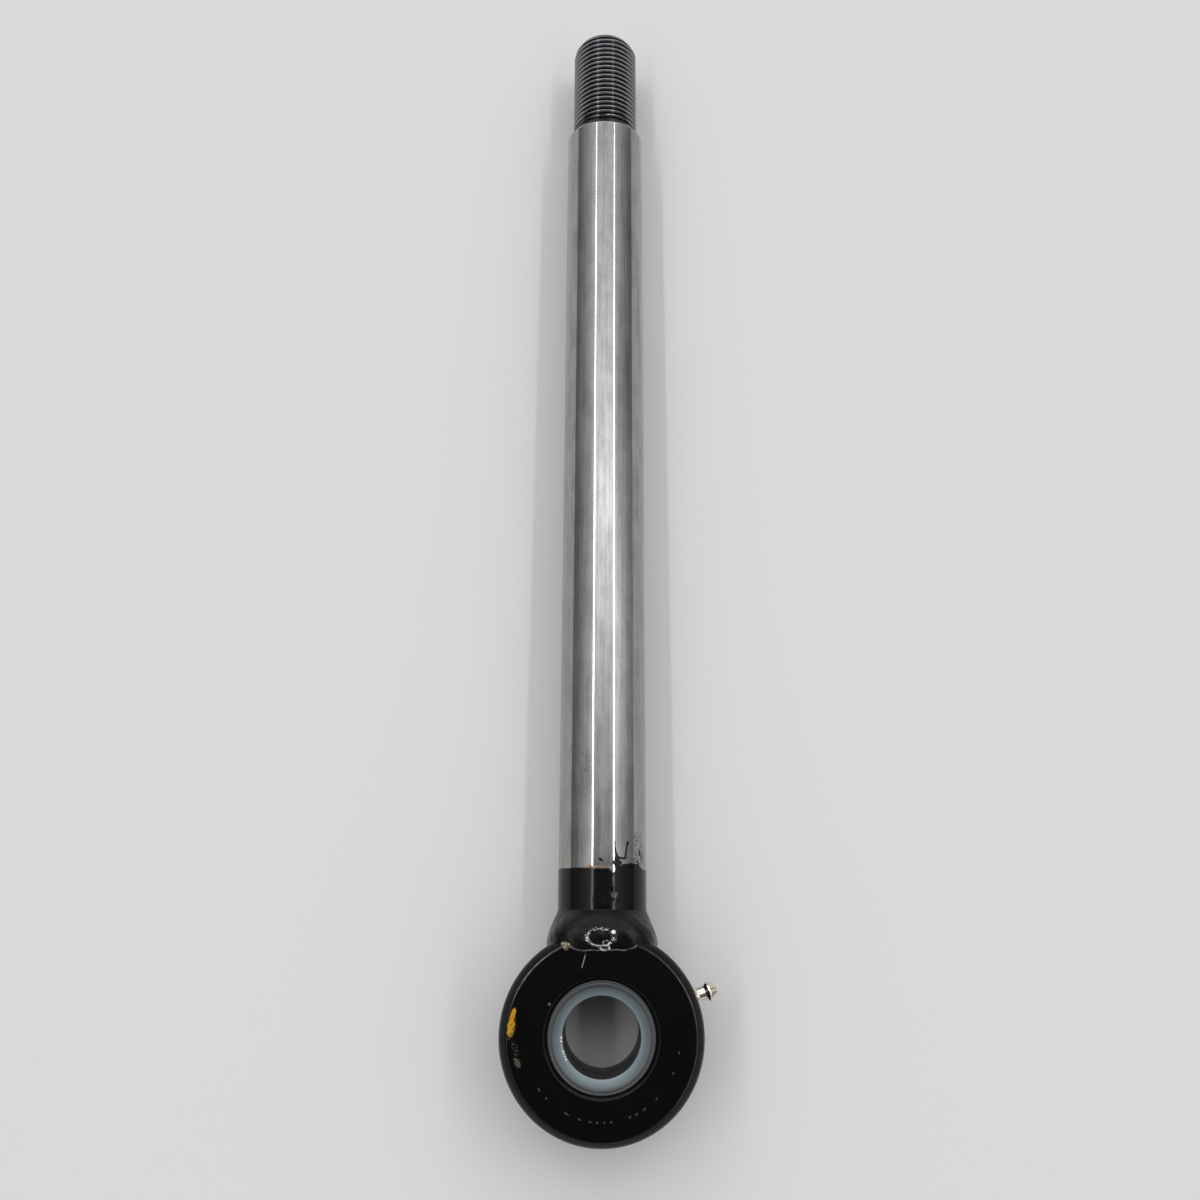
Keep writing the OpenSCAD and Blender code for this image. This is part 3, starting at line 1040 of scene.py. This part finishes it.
@dataclass
class RodEye:
    """The eye: a turned ring with bevelled edges, bored for the bush, with a flat seat for the nipple."""

    columns: int = 216
    bevel: float = 2.6
    hole_bevel: float = 0.9
    seat_r: float = 30.3
    seat_mouth_r: float = 5.5
    wear_and_highlight_name: str = "worn"
    eye_r: float = field(init=False)
    half_w: float = field(init=False)
    hole_r: float = field(init=False)

    def __post_init__(self) -> None:
        """Reads the eye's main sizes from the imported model."""
        high = node_box("rod_eye")[1]
        self.eye_r, self.half_w = float(high[0]), float(high[2])
        self.hole_r = float(node_box("eye_bush")[1][0])

    def edge_wear_and_highlight(self, points: Array) -> Array:
        """Light line along the upper bevel's inner edge, partly paint wear and partly a painted highlight
        where
        the edge catches the lamps: a bell across it, times bells round three arcs of it.

        Args:
            points: Points of the ring.

        Returns:
            How strongly the paint wear and painted highlight show at each point, from 0 to 1.
        """
        off_edge = np.hypot(points[:, 0], points[:, 1]) - self.eye_r + self.bevel
        turn = np.degrees(np.arctan2(points[:, 1], points[:, 0]))
        arcs = 0.9 * hill(turn, 138, 20) + 0.4 * hill(turn, 28, 24) + 0.2 * hill(turn, -25, 25)
        broken = 0.7 + 0.3 * np.sin(0.31 * turn) * np.sin(0.83 * turn + 1)
        return np.where(points[:, 2] > 0, hill(off_edge, 0, 0.16) * arcs * broken, 0)

    def build(self, enamel: Material) -> None:
        """Makes the ring: one half of its section from the hole's middle to the rim, and the same below.

        Args:
            enamel: Finish of the piece.
        """
        seat = Pocket(nipple_angle(), self.seat_mouth_r, self.seat_r)
        half = rounded([
            (self.hole_r, 0), (self.hole_r, self.half_w - self.hole_bevel),
            (self.hole_r + self.hole_bevel, self.half_w), (self.eye_r - self.bevel, self.half_w),
            (self.eye_r, self.half_w - self.bevel), (self.eye_r, self.half_w - self.bevel - 2),
        ], [0, 0.15, 0.3, 0.5, 1.7, 0], 7)
        rows = seat.rows(self.eye_r, self.columns)
        rim = np.stack([np.full_like(rows, self.eye_r), rows], axis=-1)
        profile = np.concatenate([half, rim, half[::-1] * (1, -1)])
        grids = seat.cut(profile, len(half), self.columns)
        worn = np.concatenate([self.edge_wear_and_highlight(points) for points, _ in grids])
        make_piece("rod_eye_ring", grids, enamel, "rod_eye", values=(self.wear_and_highlight_name, worn))


@dataclass
class WeldBead:
    """The painted weld: a ring that widens from the rod to the eye, and a broad run over each face."""

    rod_r: float
    eye_r: float
    face_z: float
    eye_bevel: float
    columns: int = 420
    rows: int = 92
    root_y: float = 39.5
    end_y: float = 25.4
    side: float = 3.6
    side_span: float = 11.0
    run_r: float = 10.0
    run_y: float = 31.0
    run_drop: float = 0.25
    # Powers of the bead's section across and upwards, which grow from a circle's 2 over the swell's length
    across_power: float = 5.0
    upward_power: float = 2.2
    swell: float = 8.0
    blend: float = 0.5
    root_sink: float = 0.35
    limit_soft: float = 0.08
    toe_fillet: float = 0.16
    toe_lift: float = 0.6
    core_r: float = 11.0
    overlap: float = 0.5
    face_gap: float = 0.03
    # Craters: middle as (x, Y), half widths and height of the rim
    craters: tuple[tuple[float, ...], ...] = ((-0.5, 30.5, 4.4, 2.7, 0.25), (0.9, 27.4, 1.5, 0.9, 0.2))
    wear_and_highlight_name: str = "worn"
    limit: float = field(init=False)

    def __post_init__(self) -> None:
        """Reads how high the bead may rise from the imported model."""
        self.limit = float(node_box("weld_bead")[1][2])

    def radius(self, around: Array, y: Array) -> Array:
        """Distance of the bead's surface from the rod's axis.

        In each cross-section (x / side)^p + (z / top)^q = 1. The side grows with the sine of a power of the
        way from the root, and the top follows a circle over the crest. A large p leaves a broad level run
        over each face. Newton's steps find the radius along each direction.

        Args:
            around: Angle round the rod, in radians.
            y: Place along the rod.

        Returns:
            The radius, in millimetres.
        """
        way = np.clip((self.root_y - y) / self.side_span, 0, 1) ** 1.3
        side = self.rod_r + self.side * np.sin(math.pi / 2 * way)
        arc = np.sqrt(np.maximum(self.run_r**2 - (y - self.run_y) ** 2, 0))
        crest = self.limit - self.run_drop - self.run_r + arc
        top = smooth_max(crest, np.full_like(crest, self.rod_r - 0.1), self.blend)
        grown = smoothstep(0, self.swell, self.root_y - y)
        p, q = 2 + (self.across_power - 2) * grown, 2 + (self.upward_power - 2) * grown
        cos, sin = np.abs(np.cos(around)), np.abs(np.sin(around))
        outline = np.full(np.broadcast_shapes(around.shape, y.shape), self.rod_r)
        for _ in range(12):
            u, v = (outline * cos / side) ** p, (outline * sin / top) ** q
            outline = outline * (1 - (u + v - 1) / (p * u + q * v))
        return outline - self.root_sink * smoothstep(self.root_sink, -self.root_sink, self.root_y - y)

    def crater(self, x: Array, y: Array) -> Array:
        """Height of the blistered crater on the upper run: a lumpy rim, a sunk middle, a drop and a tail.

        Args:
            x: Place across the rod.
            y: Place along the rod.

        Returns:
            The height over the run, in millimetres.
        """
        height = 0.4 * np.exp(-((x - 3.7) ** 2 + (y - 32.2) ** 2) / 0.5)
        for at_x, at_y, half_x, half_y, rim in self.craters:
            u, v = (x - at_x) / half_x, (y - at_y) / half_y
            turn = np.arctan2(v, u)
            away = np.hypot(u, v) * (1 + 0.06 * np.sin(3 * turn + 0.6) + 0.05 * np.sin(7 * turn))
            lumpy = 0.6 + 0.4 * np.sin(11 * turn + 1.3) * np.sin(4 * turn)
            height += rim * lumpy * hill(away, 1, 0.14) - 0.4 * rim * smoothstep(1.0, 0.75, away)
        return height

    def toe_highlight(self, x: Array, y: Array, above: Array) -> Array:
        """Painted highlight lines: a bell over the toe's fillet on the upper face, where it catches the
        lamps, and one at the root.

        Args:
            x: Place across the rod.
            y: Place along the rod.
            above: Height over the eye's face.

        Returns:
            How strongly the painted highlight shows at each point, from 0 to 1.
        """
        toe = hill(above, 0.06, 0.06) * smoothstep(-11.8, -10.6, x) * smoothstep(11.6, 10.9, x)
        toe = toe * smoothstep(self.run_y, self.run_y - 1, y)
        toe = toe * (1 - 0.8 * hill(x, 8.7, 0.7)) * (0.7 + 0.3 * np.sin(2.1 * x) * np.sin(0.9 * x + 1))
        root = hill(y, self.root_y - 0.15, 0.14) * smoothstep(-1.6, -0.6, x) * smoothstep(2.6, 1.6, x)
        return np.clip(toe + 0.6 * root, 0, 1)

    def build(self, enamel: Material) -> None:
        """Makes the bead as a closed ring whose inner side lies inside rod and eye.

        Args:
            enamel: Finish of the piece.
        """
        around = full_circle(self.columns)[None]
        y = np.linspace(self.root_y + self.overlap, self.end_y, self.rows)[:, None]
        radius = self.radius(around, y)
        fine = 0.05 * np.sin(26 * around + 0.8 * np.sin(5 * around) - 1.1 * y)
        ripple = fine + 0.07 * np.sin(7 * around + 0.5 * y)
        radius = radius + ripple * smoothstep(self.root_y, self.root_y - 3, y)
        upper = smoothstep(0.5, 0.8, np.sin(around))
        radius = radius + upper * self.crater(radius * np.cos(around), y)
        x, z = radius * np.cos(around), radius * np.sin(around)
        z = np.sign(z) * (self.limit - softplus(self.limit - np.abs(z), self.limit_soft))
        off_axis = np.hypot(x, y)
        fall = np.clip(off_axis - self.eye_r + self.eye_bevel, 0, self.eye_bevel)
        surface = self.face_z - fall - self.face_gap
        # Painted highlight: light lines along the toe's fillet and at the root, mixed in by the finish
        worn = upper * self.toe_highlight(x, y, np.abs(z) - surface)
        lift = surface + softplus(np.abs(z) - surface, self.toe_fillet) - np.abs(z)
        z = z + np.sign(z) * np.where(off_axis < self.eye_r, np.minimum(lift, self.toe_lift), 0)
        outer = np.stack([x, y * np.ones_like(x), z], axis=-1)
        core = np.array([[self.core_r, self.end_y], [self.core_r, self.root_y + self.overlap]])
        ends = along_rod(turned(core, around[0]))
        worn = np.concatenate([worn, np.zeros((2, self.columns))])
        make_piece("weld_bead_run", [grid(np.concatenate([outer, ends]), close_rows=True)], enamel,
                   "weld_bead", values=(self.wear_and_highlight_name, worn))


@dataclass
class Spatter:
    """A bead of weld metal that landed on the eye's edge beside the weld."""

    centre: Triple = (-11.7, 27.9, 17.9)
    radius: float = 1.5
    flat: float = 0.6
    rows: int = 25
    columns: int = 40

    def build(self, metal: Material) -> None:
        """Makes a flattened ball whose radius swells and shrinks with three waves.

        Args:
            metal: Finish of the piece.
        """
        along = np.linspace(0, math.pi, self.rows)[:, None]
        around = full_circle(self.columns)[None]
        belly = np.sin(along)
        swell = 1 + 0.10 * np.sin(3 * around) * belly + 0.09 * np.sin(7 * along + 2 * around) * belly
        radius = self.radius * swell
        points = np.stack([
            radius * belly * np.cos(around), 0.9 * radius * belly * np.sin(around),
            self.flat * radius * np.cos(along)], axis=-1)
        make_piece("weld_spatter", [grid(points + np.array(self.centre))], metal)


@dataclass
class EyeBush:
    """The pressed-in bush: rounded mouths, turned end faces, a grease groove and the grease hole in it."""

    columns: int = 216
    lead_w: float = 2.8
    lead_depth: float = 1.8
    edge: float = 0.4
    line_at: float = 1.0
    line_w: float = 0.25
    line_depth: float = 0.1
    groove_half: float = 2.5
    groove_depth: float = 0.8
    hole_r: float = 1.5
    hole_end: float = 16.8
    bore_r: float = field(init=False)
    outer_r: float = field(init=False)
    end_z: float = field(init=False)

    def __post_init__(self) -> None:
        """Reads the bush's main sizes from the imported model."""
        high = node_box("eye_bush")[1]
        self.outer_r, self.end_z = float(high[0]), float(high[2])
        self.bore_r = mount("eye_bore")["dims"]["r_mm"]

    def build(self) -> None:
        """Makes the bush: one half of its section from the groove to the outside, and the same below."""
        wall_z = self.end_z - self.lead_depth
        steel = TurnedSteel(self.bore_r, wall_z).make()
        groove_r = self.bore_r + self.groove_depth
        hole = Pocket(nipple_angle(), self.hole_r, self.hole_end, block=12)
        rows = hole.rows(groove_r, self.columns)
        floor = np.stack([np.full_like(rows, groove_r), rows], axis=-1)
        line = self.outer_r - self.line_at
        half = rounded([
            (groove_r, self.groove_half), (self.bore_r, self.groove_half), (self.bore_r, wall_z),
            (self.bore_r + self.lead_w, self.end_z), (line - self.line_w, self.end_z),
            (line, self.end_z - self.line_depth), (line + self.line_w, self.end_z),
            (self.outer_r - self.edge, self.end_z), (self.outer_r, self.end_z - self.edge), (self.outer_r, 0),
        ], [0, 0, 0.2, 0.8, 0.05, 0.05, 0.05, 0.1, 0.1, 0], 7)
        profile = np.concatenate([floor[::-1], half, half[::-1] * (1, -1)])
        make_piece("eye_bush_turned", hole.cut(profile, 0, self.columns), steel, "eye_bush")


@dataclass
class GreaseNipple:
    """The nipple's body: shank, hexagon, neck, head and the duct with the ball's seat.

    Heights are measured along its own axis, outwards from its seat in the eye's rim.
    """

    seat_r: float
    columns: int = 96
    shank_r: float = 3.0
    shank_len: float = 5.5
    shank_chamfer: float = 0.5
    hex_af: float = 7.0
    hex_h: float = 3.2
    hex_slope: float = 0.7
    neck_r: float = 2.45
    neck_flare: float = 0.75
    neck_rise: float = 0.6
    head_r: float = 3.25
    head_z: float = 7.5
    head_under: float = 0.9
    head_edge: float = 0.6
    top_z: float = 10.5
    tip_r: float = 1.6
    mouth_r: float = 0.85
    lip: float = 0.35
    duct_r: float = 1.45
    crimp_r: float = 0.8
    crimp_h: float = 0.4

    def build(self, nickel: Material) -> None:
        """Makes the body: a closed section turned round the axis, with six flats where the hexagon is.

        The hexagon's radius is its half width over the cosine of the angle from the nearest flat, cut
        off by a cone at its upper corners.

        Args:
            nickel: Finish of the piece.
        """
        corner_r = self.hex_af / 2 / math.cos(math.pi / 6)
        cone_z = self.top_z - self.lip
        cone_base = cone_z - (self.duct_r - self.mouth_r)
        wide = corner_r + 0.2
        profile = rounded([
            (self.shank_r - self.shank_chamfer, -self.shank_len),
            (self.shank_r, self.shank_chamfer - self.shank_len), (self.shank_r, 0),
            (wide, 0), (wide, self.hex_h - self.hex_slope), (self.neck_r + self.neck_flare, self.hex_h),
            (self.neck_r, self.hex_h + self.neck_rise), (self.neck_r, self.head_z - self.head_under),
            (self.head_r, self.head_z), (self.head_r, self.head_z + self.head_edge),
            (self.tip_r + 0.25, self.top_z - 0.2),
            (self.tip_r - 0.2, self.top_z), (self.mouth_r, self.top_z), (self.mouth_r, cone_z),
            (self.duct_r, cone_base), (self.duct_r, self.crimp_h - self.shank_len),
            (self.crimp_r, self.crimp_h - self.shank_len), (self.crimp_r, -self.shank_len),
        ], [0, 0, 0, 0, 0.35, 0.12, 0.3, 0.3, 0.25, 0.3, 0.3, 0.15, 0.1, 0, 0, 0, 0, 0], loop=True)
        angles = full_circle(self.columns)
        points = turned(profile, angles)
        flat_turn = (angles + math.pi / 6) % (math.pi / 3) - math.pi / 6
        limit = self.hex_af / 2 / np.cos(flat_turn)
        radius, height = profile.T
        in_hex = (height > -0.01) & (height < self.hex_h - 0.1) & (radius > self.shank_r + 0.01)
        scale = np.where(in_hex[:, None], np.minimum(1, limit / np.maximum(profile[:, :1], 1e-6)), 1)
        points[..., :2] *= scale[..., None]
        body = grid(on_nipple(points, self.seat_r), close_rows=True)
        make_piece("grease_nipple_body", [body], nickel, "grease_nipple")


@dataclass
class NippleValve:
    """Check ball and the spring that presses it onto its seat.

    Heights are measured along the nipple's axis, outwards from its seat in the eye's rim.
    """

    seat_r: float
    crimp_z: float
    ball_columns: int = 72
    ball_rows: int = 37
    wire_r: float = 0.18
    coil_r: float = 1.05
    gap: float = 0.03
    turns: int = 9
    turn_steps: int = 36
    wire_sides: int = 12
    dome_steps: int = 5
    ball_r: float = field(init=False)
    ball_z: float = field(init=False)

    def __post_init__(self) -> None:
        """Reads the ball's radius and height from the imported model."""
        low, high = node_box("nipple_ball")
        middle = (low + high) / 2
        self.ball_r = float(high[2] - low[2]) / 2
        self.ball_z = math.hypot(middle[0], middle[1]) - self.seat_r

    def build_ball(self, material: Material) -> None:
        """Makes the ball: half a circle, turned round the nipple's axis.

        Args:
            material: Finish of the piece.
        """
        tilt = np.linspace(0, math.pi, self.ball_rows)
        profile = np.column_stack([self.ball_r * np.sin(tilt), self.ball_z - self.ball_r * np.cos(tilt)])
        points = turned(profile, full_circle(self.ball_columns))
        make_piece("check_ball_ground", [grid(on_nipple(points, self.seat_r))], material,
                   "nipple_ball", body=Body.BALL)

    def spring_span(self) -> tuple[float, float]:
        """Gives the heights of the wire's middle in the end turns, on the crimped edge and under the ball."""
        reach = self.ball_r + self.wire_r + self.gap
        return self.crimp_z + self.wire_r + self.gap, self.ball_z - math.sqrt(reach**2 - self.coil_r**2)

    def build_spring(self, material: Material) -> None:
        """Winds the spring between the crimped edge and the ball.

        The middle of the wire runs round the coil and climbs evenly. At a distance d from an end the wire's
        radius is the square root of d (2 r - d), up to its full radius r, so both ends are domes.

        Args:
            material: Finish of the piece.
        """
        low_z, top_z = self.spring_span()
        last = math.tau * self.turns
        dome = self.wire_r / self.coil_r * (1 - np.cos(np.linspace(0, math.pi / 2, self.dome_steps)))
        winding = np.linspace(0, last, self.turns * self.turn_steps)[2:-2]
        turn = np.concatenate([dome, winding, last - dome[::-1]])
        inward = np.minimum(np.minimum(turn, last - turn) * self.coil_r, self.wire_r)
        wire = np.sqrt(inward * (2 * self.wire_r - inward))[:, None]
        side = full_circle(self.wire_sides)
        out = self.coil_r + wire * np.cos(side)
        height = low_z + (top_z - low_z) * turn[:, None] / last + wire * np.sin(side)
        coil = np.stack([out * np.cos(turn)[:, None], out * np.sin(turn)[:, None], height], axis=-1)
        spring = make_piece("ball_spring_coil", [grid(on_nipple(coil, self.seat_r))], material,
                            "nipple_spring")
        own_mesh(spring)


# Studio


@dataclass
class Studio:
    """Pale floor, two long lamps parallel to the rod, soft surroundings and the camera."""

    floor_half: float = 6.0
    rest_y: tuple[float, float] = (31.3, 341.8)
    lamp_height: float = 1.5
    lamp_angles_deg: tuple[float, float] = (-25.5, 29.5)
    lamp_w: float = 0.07
    lamp_len: float = 2.78
    lamp_middle_y: float = 0.36
    lamp_watts: float = 5.0
    # Light of the ceiling between the lamps, by degrees ahead of straight up
    ceiling: Stops = (
        (-5, 0.15), (2.4, 0.2), (3.4, 0.6), (7, 0.81), (10, 1.03), (13.5, 1.4), (21, 2.25), (25, 1.66),
        (30, 1.36), (36, 1.06), (50, 0.6), (70, 0.4))
    # Light of the sides, by degrees across
    sides: Stops = ((30, 1.08), (40, 0.78), (60, 0.48), (75, 0.3), (90, 0.22))
    # Share by which the right-hand side is brighter, by degrees ahead
    right_share: Stops = ((1.5, 0.0), (4.4, 0.3), (7, 0.45), (10, 0.8), (13.5, 1.0), (21, 0.5), (26, 0.0))
    front: float = 0.9
    front_span: tuple[float, float] = (0.62, 0.75)
    horizon_span: tuple[float, float] = (0.03, 0.2)
    lamp_blend: float = 0.02
    right_blend: tuple[float, float] = (-0.03, 0.06)
    camera_at: Triple = (0.18, 34.47, 410.3)
    camera_tilt: float = 0.2714
    camera_yaw: float = -0.0032
    camera_roll: float = 0.00347
    focal_px: float = 1166.7
    frame_px: float = 1200.0
    sensor_mm: float = 36.0

    def floor(self, rest_z: tuple[float, float]) -> None:
        """Lays the floor under the two places that the part rests on.

        Args:
            rest_z: Heights of the weld's underside and of the rod's underside, in millimetres.
        """
        slope = (rest_z[1] - rest_z[0]) / (self.rest_y[1] - self.rest_y[0])
        level = (rest_z[0] - slope * self.rest_y[0]) / MM
        half = self.floor_half
        corners = np.array([[-half, -half], [half, -half], [half, half], [-half, half]])
        points = np.column_stack([corners, level + slope * corners[:, 1]])
        mesh = bpy.data.meshes.new("floor")
        mesh.from_pydata(points.tolist(), [], [(0, 1, 2, 3)])
        mesh.materials.append(PaleFloor().make())
        board = bpy.data.objects.new("floor", mesh)
        bpy.context.scene.collection.objects.link(board)

    def lamps(self) -> None:
        """Hangs the two lamps, each facing the rod and narrower towards its ends."""
        for number, angle_deg in enumerate(self.lamp_angles_deg):
            angle = math.radians(angle_deg)
            light = bpy.data.lights.new(f"long_lamp_{number}", "AREA")
            light.shape = "ELLIPSE"
            light.size, light.size_y = self.lamp_w, self.lamp_len
            light.energy = self.lamp_watts
            lamp = bpy.data.objects.new(light.name, light)
            lamp.location = (self.lamp_height * math.tan(angle), self.lamp_middle_y, self.lamp_height)
            lamp.rotation_euler = (0, angle, 0)
            bpy.context.scene.collection.objects.link(lamp)

    def surroundings(self) -> None:
        """Lights the world by direction.

        The horizon is dim and the sides are grey, the right one brighter a little ahead. The ceiling
        between the lamps is dark straight above, where the photographer stands, and bright ahead, and a
        large soft light stands in front.
        """
        world = bpy.data.worlds.new("studio")
        world.use_nodes = True
        tree = world.node_tree
        way = add_node(tree, "SeparateXYZ", {"Vector": add_node(tree, "TexCoord").outputs["Generated"]})
        x, y, z = (way.outputs[name] for name in "XYZ")
        across = add_node(tree, "Math", {0: x, 1: z}, operation="ARCTAN2")
        off = add_node(tree, "Math", {0: across}, operation="ABSOLUTE")
        ahead = add_node(tree, "Math", {0: y}, operation="ARCSINE")
        left, right = (math.radians(a) for a in self.lamp_angles_deg)
        half = (right - left) / 2
        middle = add_node(tree, "Math", {0: across, 1: (left + right) / 2}, operation="SUBTRACT")
        off_middle = add_node(tree, "Math", {0: middle}, operation="ABSOLUTE")
        between = add_node(tree, "MapRange", {
            "Value": off_middle, **span(half + self.lamp_blend, half - self.lamp_blend)})
        on_right = add_node(tree, "MapRange", {
            "Value": across, **span(*(right + edge for edge in self.right_blend))})
        share = add_node(tree, "Math", {
            0: on_right, 1: add_curve(tree, ahead, self.right_share)}, operation="MULTIPLY")
        sides = add_curve(tree, off, self.sides)
        beside = add_node(tree, "Math", {0: sides, 1: share, 2: sides}, operation="MULTIPLY_ADD")
        light = add_node(tree, "Mix", {
            "Factor": between, "A": beside, "B": add_curve(tree, ahead, self.ceiling)})
        front = add_node(tree, "MapRange", {"Value": y, **span(*self.front_span), "To Max": self.front})
        high = add_node(tree, "MapRange", {"Value": z, **span(*self.horizon_span)})
        total = add_node(tree, "Math", {0: front, 1: high, 2: light}, operation="MULTIPLY_ADD")
        set_inputs(tree, tree.nodes["Background"], {"Color": linear("#ffffff"), "Strength": total})
        bpy.context.scene.world = world

    def camera(self) -> None:
        """Places the camera where the photograph was taken from."""
        yaw, tilt = self.camera_yaw, self.camera_tilt
        look = Vector((math.sin(yaw), math.sin(tilt), -math.cos(tilt))).normalized()
        right = look.cross(Vector((0, math.cos(tilt), math.sin(tilt)))).normalized()
        up = right.cross(look)
        cos, sin = math.cos(self.camera_roll), math.sin(self.camera_roll)
        axes = Matrix((cos * right + sin * up, cos * up - sin * right, -look)).transposed()
        data = bpy.data.cameras.new("camera")
        data.sensor_fit = "HORIZONTAL"
        data.sensor_width = self.sensor_mm
        data.lens = self.sensor_mm * self.focal_px / self.frame_px
        data.clip_start = 0.01
        eye = bpy.data.objects.new("camera", data)
        eye.matrix_world = Matrix.Translation(Vector(self.camera_at) / MM) @ axes.to_4x4()
        bpy.context.scene.collection.objects.link(eye)
        bpy.context.scene.camera = eye

    def build(self, rest_z: tuple[float, float]) -> None:
        """Sets up the whole studio.

        Args:
            rest_z: Heights of the weld's underside and of the rod's underside, in millimetres.
        """
        bpy.context.scene.view_settings.view_transform = "Standard"
        self.floor(rest_z)
        self.lamps()
        self.surroundings()
        self.camera()


def eye_marks() -> tuple[Mark, ...]:
    """Lists the chips and scuffs of the painted eye.

    Returns:
        The marks, the undermost first.
    """
    primer, primer_dark, scuff, smear, steel = "#b2830e", "#3a2a10", "#6f6e6a", "#5c5546", "#a9a9a8"
    face, scuff_r = 18.0, 24.8
    # Scuffs on the lower half of the face: angle round the eye and half length
    scuffs = (
        (-142, 1.2), (-134, 0.9), (-116, 1.7), (-106, 1.1), (-98, 1.0), (-93, 0.9), (-88, 0.8), (-83, 0.8),
        (-69, 1.0), (-64, 1.0), (-57, 0.9), (-46, 0.8), (-25, 0.9), (-10, 0.9))
    dots = (
        Mark((scuff_r * math.cos(math.radians(a)), scuff_r * math.sin(math.radians(a)), face),
             (0.5 * half, 0.34, 0.5), scuff, turn_deg=a + 90, ragged=0.9, grain=0.5, strength=0.26)
        for a, half in scuffs)
    return (
        *dots,
        Mark((-27.4, -3.4, 17.8), (1.2, 3.0, 2.0), scuff, turn_deg=14, grain=0.6, strength=0.4,
             kind=MarkKind.SPECKS, cover=0.42),
        Mark((-26.6, -7.4, 18.0), (0.9, 1.6, 2.0), smear, turn_deg=20, ragged=0.9, grain=0.9, strength=0.6),
        Mark((-28.7, 3.0, 17.2), (1.5, 3.6, 3.0), primer_dark, turn_deg=-8, ragged=0.7, grain=1.0,
             strength=0.9),
        Mark((-28.3, 6.4, 17.4), (0.75, 2.8, 3.0), primer, turn_deg=-14, ragged=0.35, grain=1.2),
        Mark((-28.8, 3.0, 17.2), (1.2, 2.8, 3.0), primer, turn_deg=-6, ragged=0.45, grain=1.1),
        Mark((-28.6, 0.6, 17.2), (1.1, 1.2, 2.0), primer_dark, grain=0.7, kind=MarkKind.SPECKS, cover=0.5),
        Mark((-28.2, 3.6, 17.4), (1.2, 3.8, 2.0), primer_dark, grain=0.5, kind=MarkKind.SPECKS, cover=0.36),
        Mark((-5.9, 23.1, face), (0.16, 2.3, 0.5), steel, turn_deg=-16, ragged=0.8, grain=0.8, strength=0.6),
        Mark((-16.7, 10.0, face), (0.4, 0.4, 0.5), steel, grain=0.5, strength=0.3),
    )


def weld_marks() -> tuple[Mark, ...]:
    """Lists the light marks of the weld round the crater, at its tail and on its drop: bare metal where the
    paint broke, with painted glints along the crater's rims, and a painted highlight on the drop.

    Returns:
        The marks, the undermost first.
    """
    bare_and_glint, ring, specks = "#d6d6d3", MarkKind.RING, MarkKind.SPECKS
    return (
        # Bare metal and painted glints round the crater's rim
        Mark((-0.5, 30.5, 19.1), (4.5, 2.8, 2.0), bare_and_glint, ragged=0.3, grain=0.5, strength=0.6, kind=ring,
             cover=0.38, line=0.6),
        Mark((-0.5, 30.5, 19.1), (4.3, 2.6, 2.0), bare_and_glint, ragged=0.3, grain=0.7, strength=0.9, kind=ring,
             cover=0.58, line=0.24),
        Mark((1.6, 28.7, 18.8), (2.2, 1.2, 1.5), bare_and_glint, grain=0.5, strength=0.7, kind=specks, cover=0.4),
        Mark((0.9, 27.3, 18.5), (1.4, 0.85, 1.5), bare_and_glint, ragged=0.25, grain=0.6, kind=ring, cover=0.62,
             line=0.22),
        # Painted highlight: a near-white spot on the drop
        Mark((3.7, 32.2, 19.2), (0.7, 0.6, 1.0), "#f2f2f0", ragged=0.4, grain=0.5),
    )


def main() -> None:
    """Builds each sub-assembly, dresses it and sets up the studio."""
    logging.basicConfig(level=logging.INFO, format="%(name)s: %(message)s")
    eye = RodEye()
    rod = PistonRod(eye.eye_r)
    rod.build(HardChrome(rod.lead_y, rod.thread_r).make())
    foot_enamel = BlackEnamel("black_enamel_sprayed", tint="#030304", gloss=0.11, dull=0.16, ior=1.34)
    FootPaint(rod.rod_r, rod.foot_y).build(foot_enamel.make())
    # The eye's light tint shows its paint wear and the painted highlight on its bevel's edge
    eye.build(BlackEnamel("black_enamel_chipped", eye_marks(), eye.wear_and_highlight_name, "#8f9092").make())
    bead = WeldBead(rod.rod_r, eye.eye_r, eye.half_w, eye.bevel)
    weld_enamel = BlackEnamel("black_enamel_on_weld", weld_marks(), bead.wear_and_highlight_name, gloss=0.22, dull=0.36)
    bead.build(weld_enamel.make())
    Spatter().build(BrightMetal("weld_spatter_oxidised", "#9a8f7c", "#5a5142", 0.6, 0.35, 0.6).make())
    EyeBush().build()
    nipple = GreaseNipple(eye.seat_r)
    nipple.build(BrightMetal("nickel_plate_bright", "#ece7dd", "#cbc3b3", 1.2, 0.05, 0.12).make())
    valve = NippleValve(eye.seat_r, nipple.crimp_h - nipple.shank_len)
    valve.build_ball(BrightMetal("ball_steel_polished", "#c4c4c4", "#b0b0b0", 0.8, 0.06, 0.14).make())
    valve.build_spring(BrightMetal("spring_wire_drawn", "#94959a", "#74757a", 0.5, 0.25, 0.4).make())
    weld_low = float(node_box("weld_bead")[0][2])
    Studio().build((weld_low, -rod.rod_r))


if __name__ == "__main__":
    main()
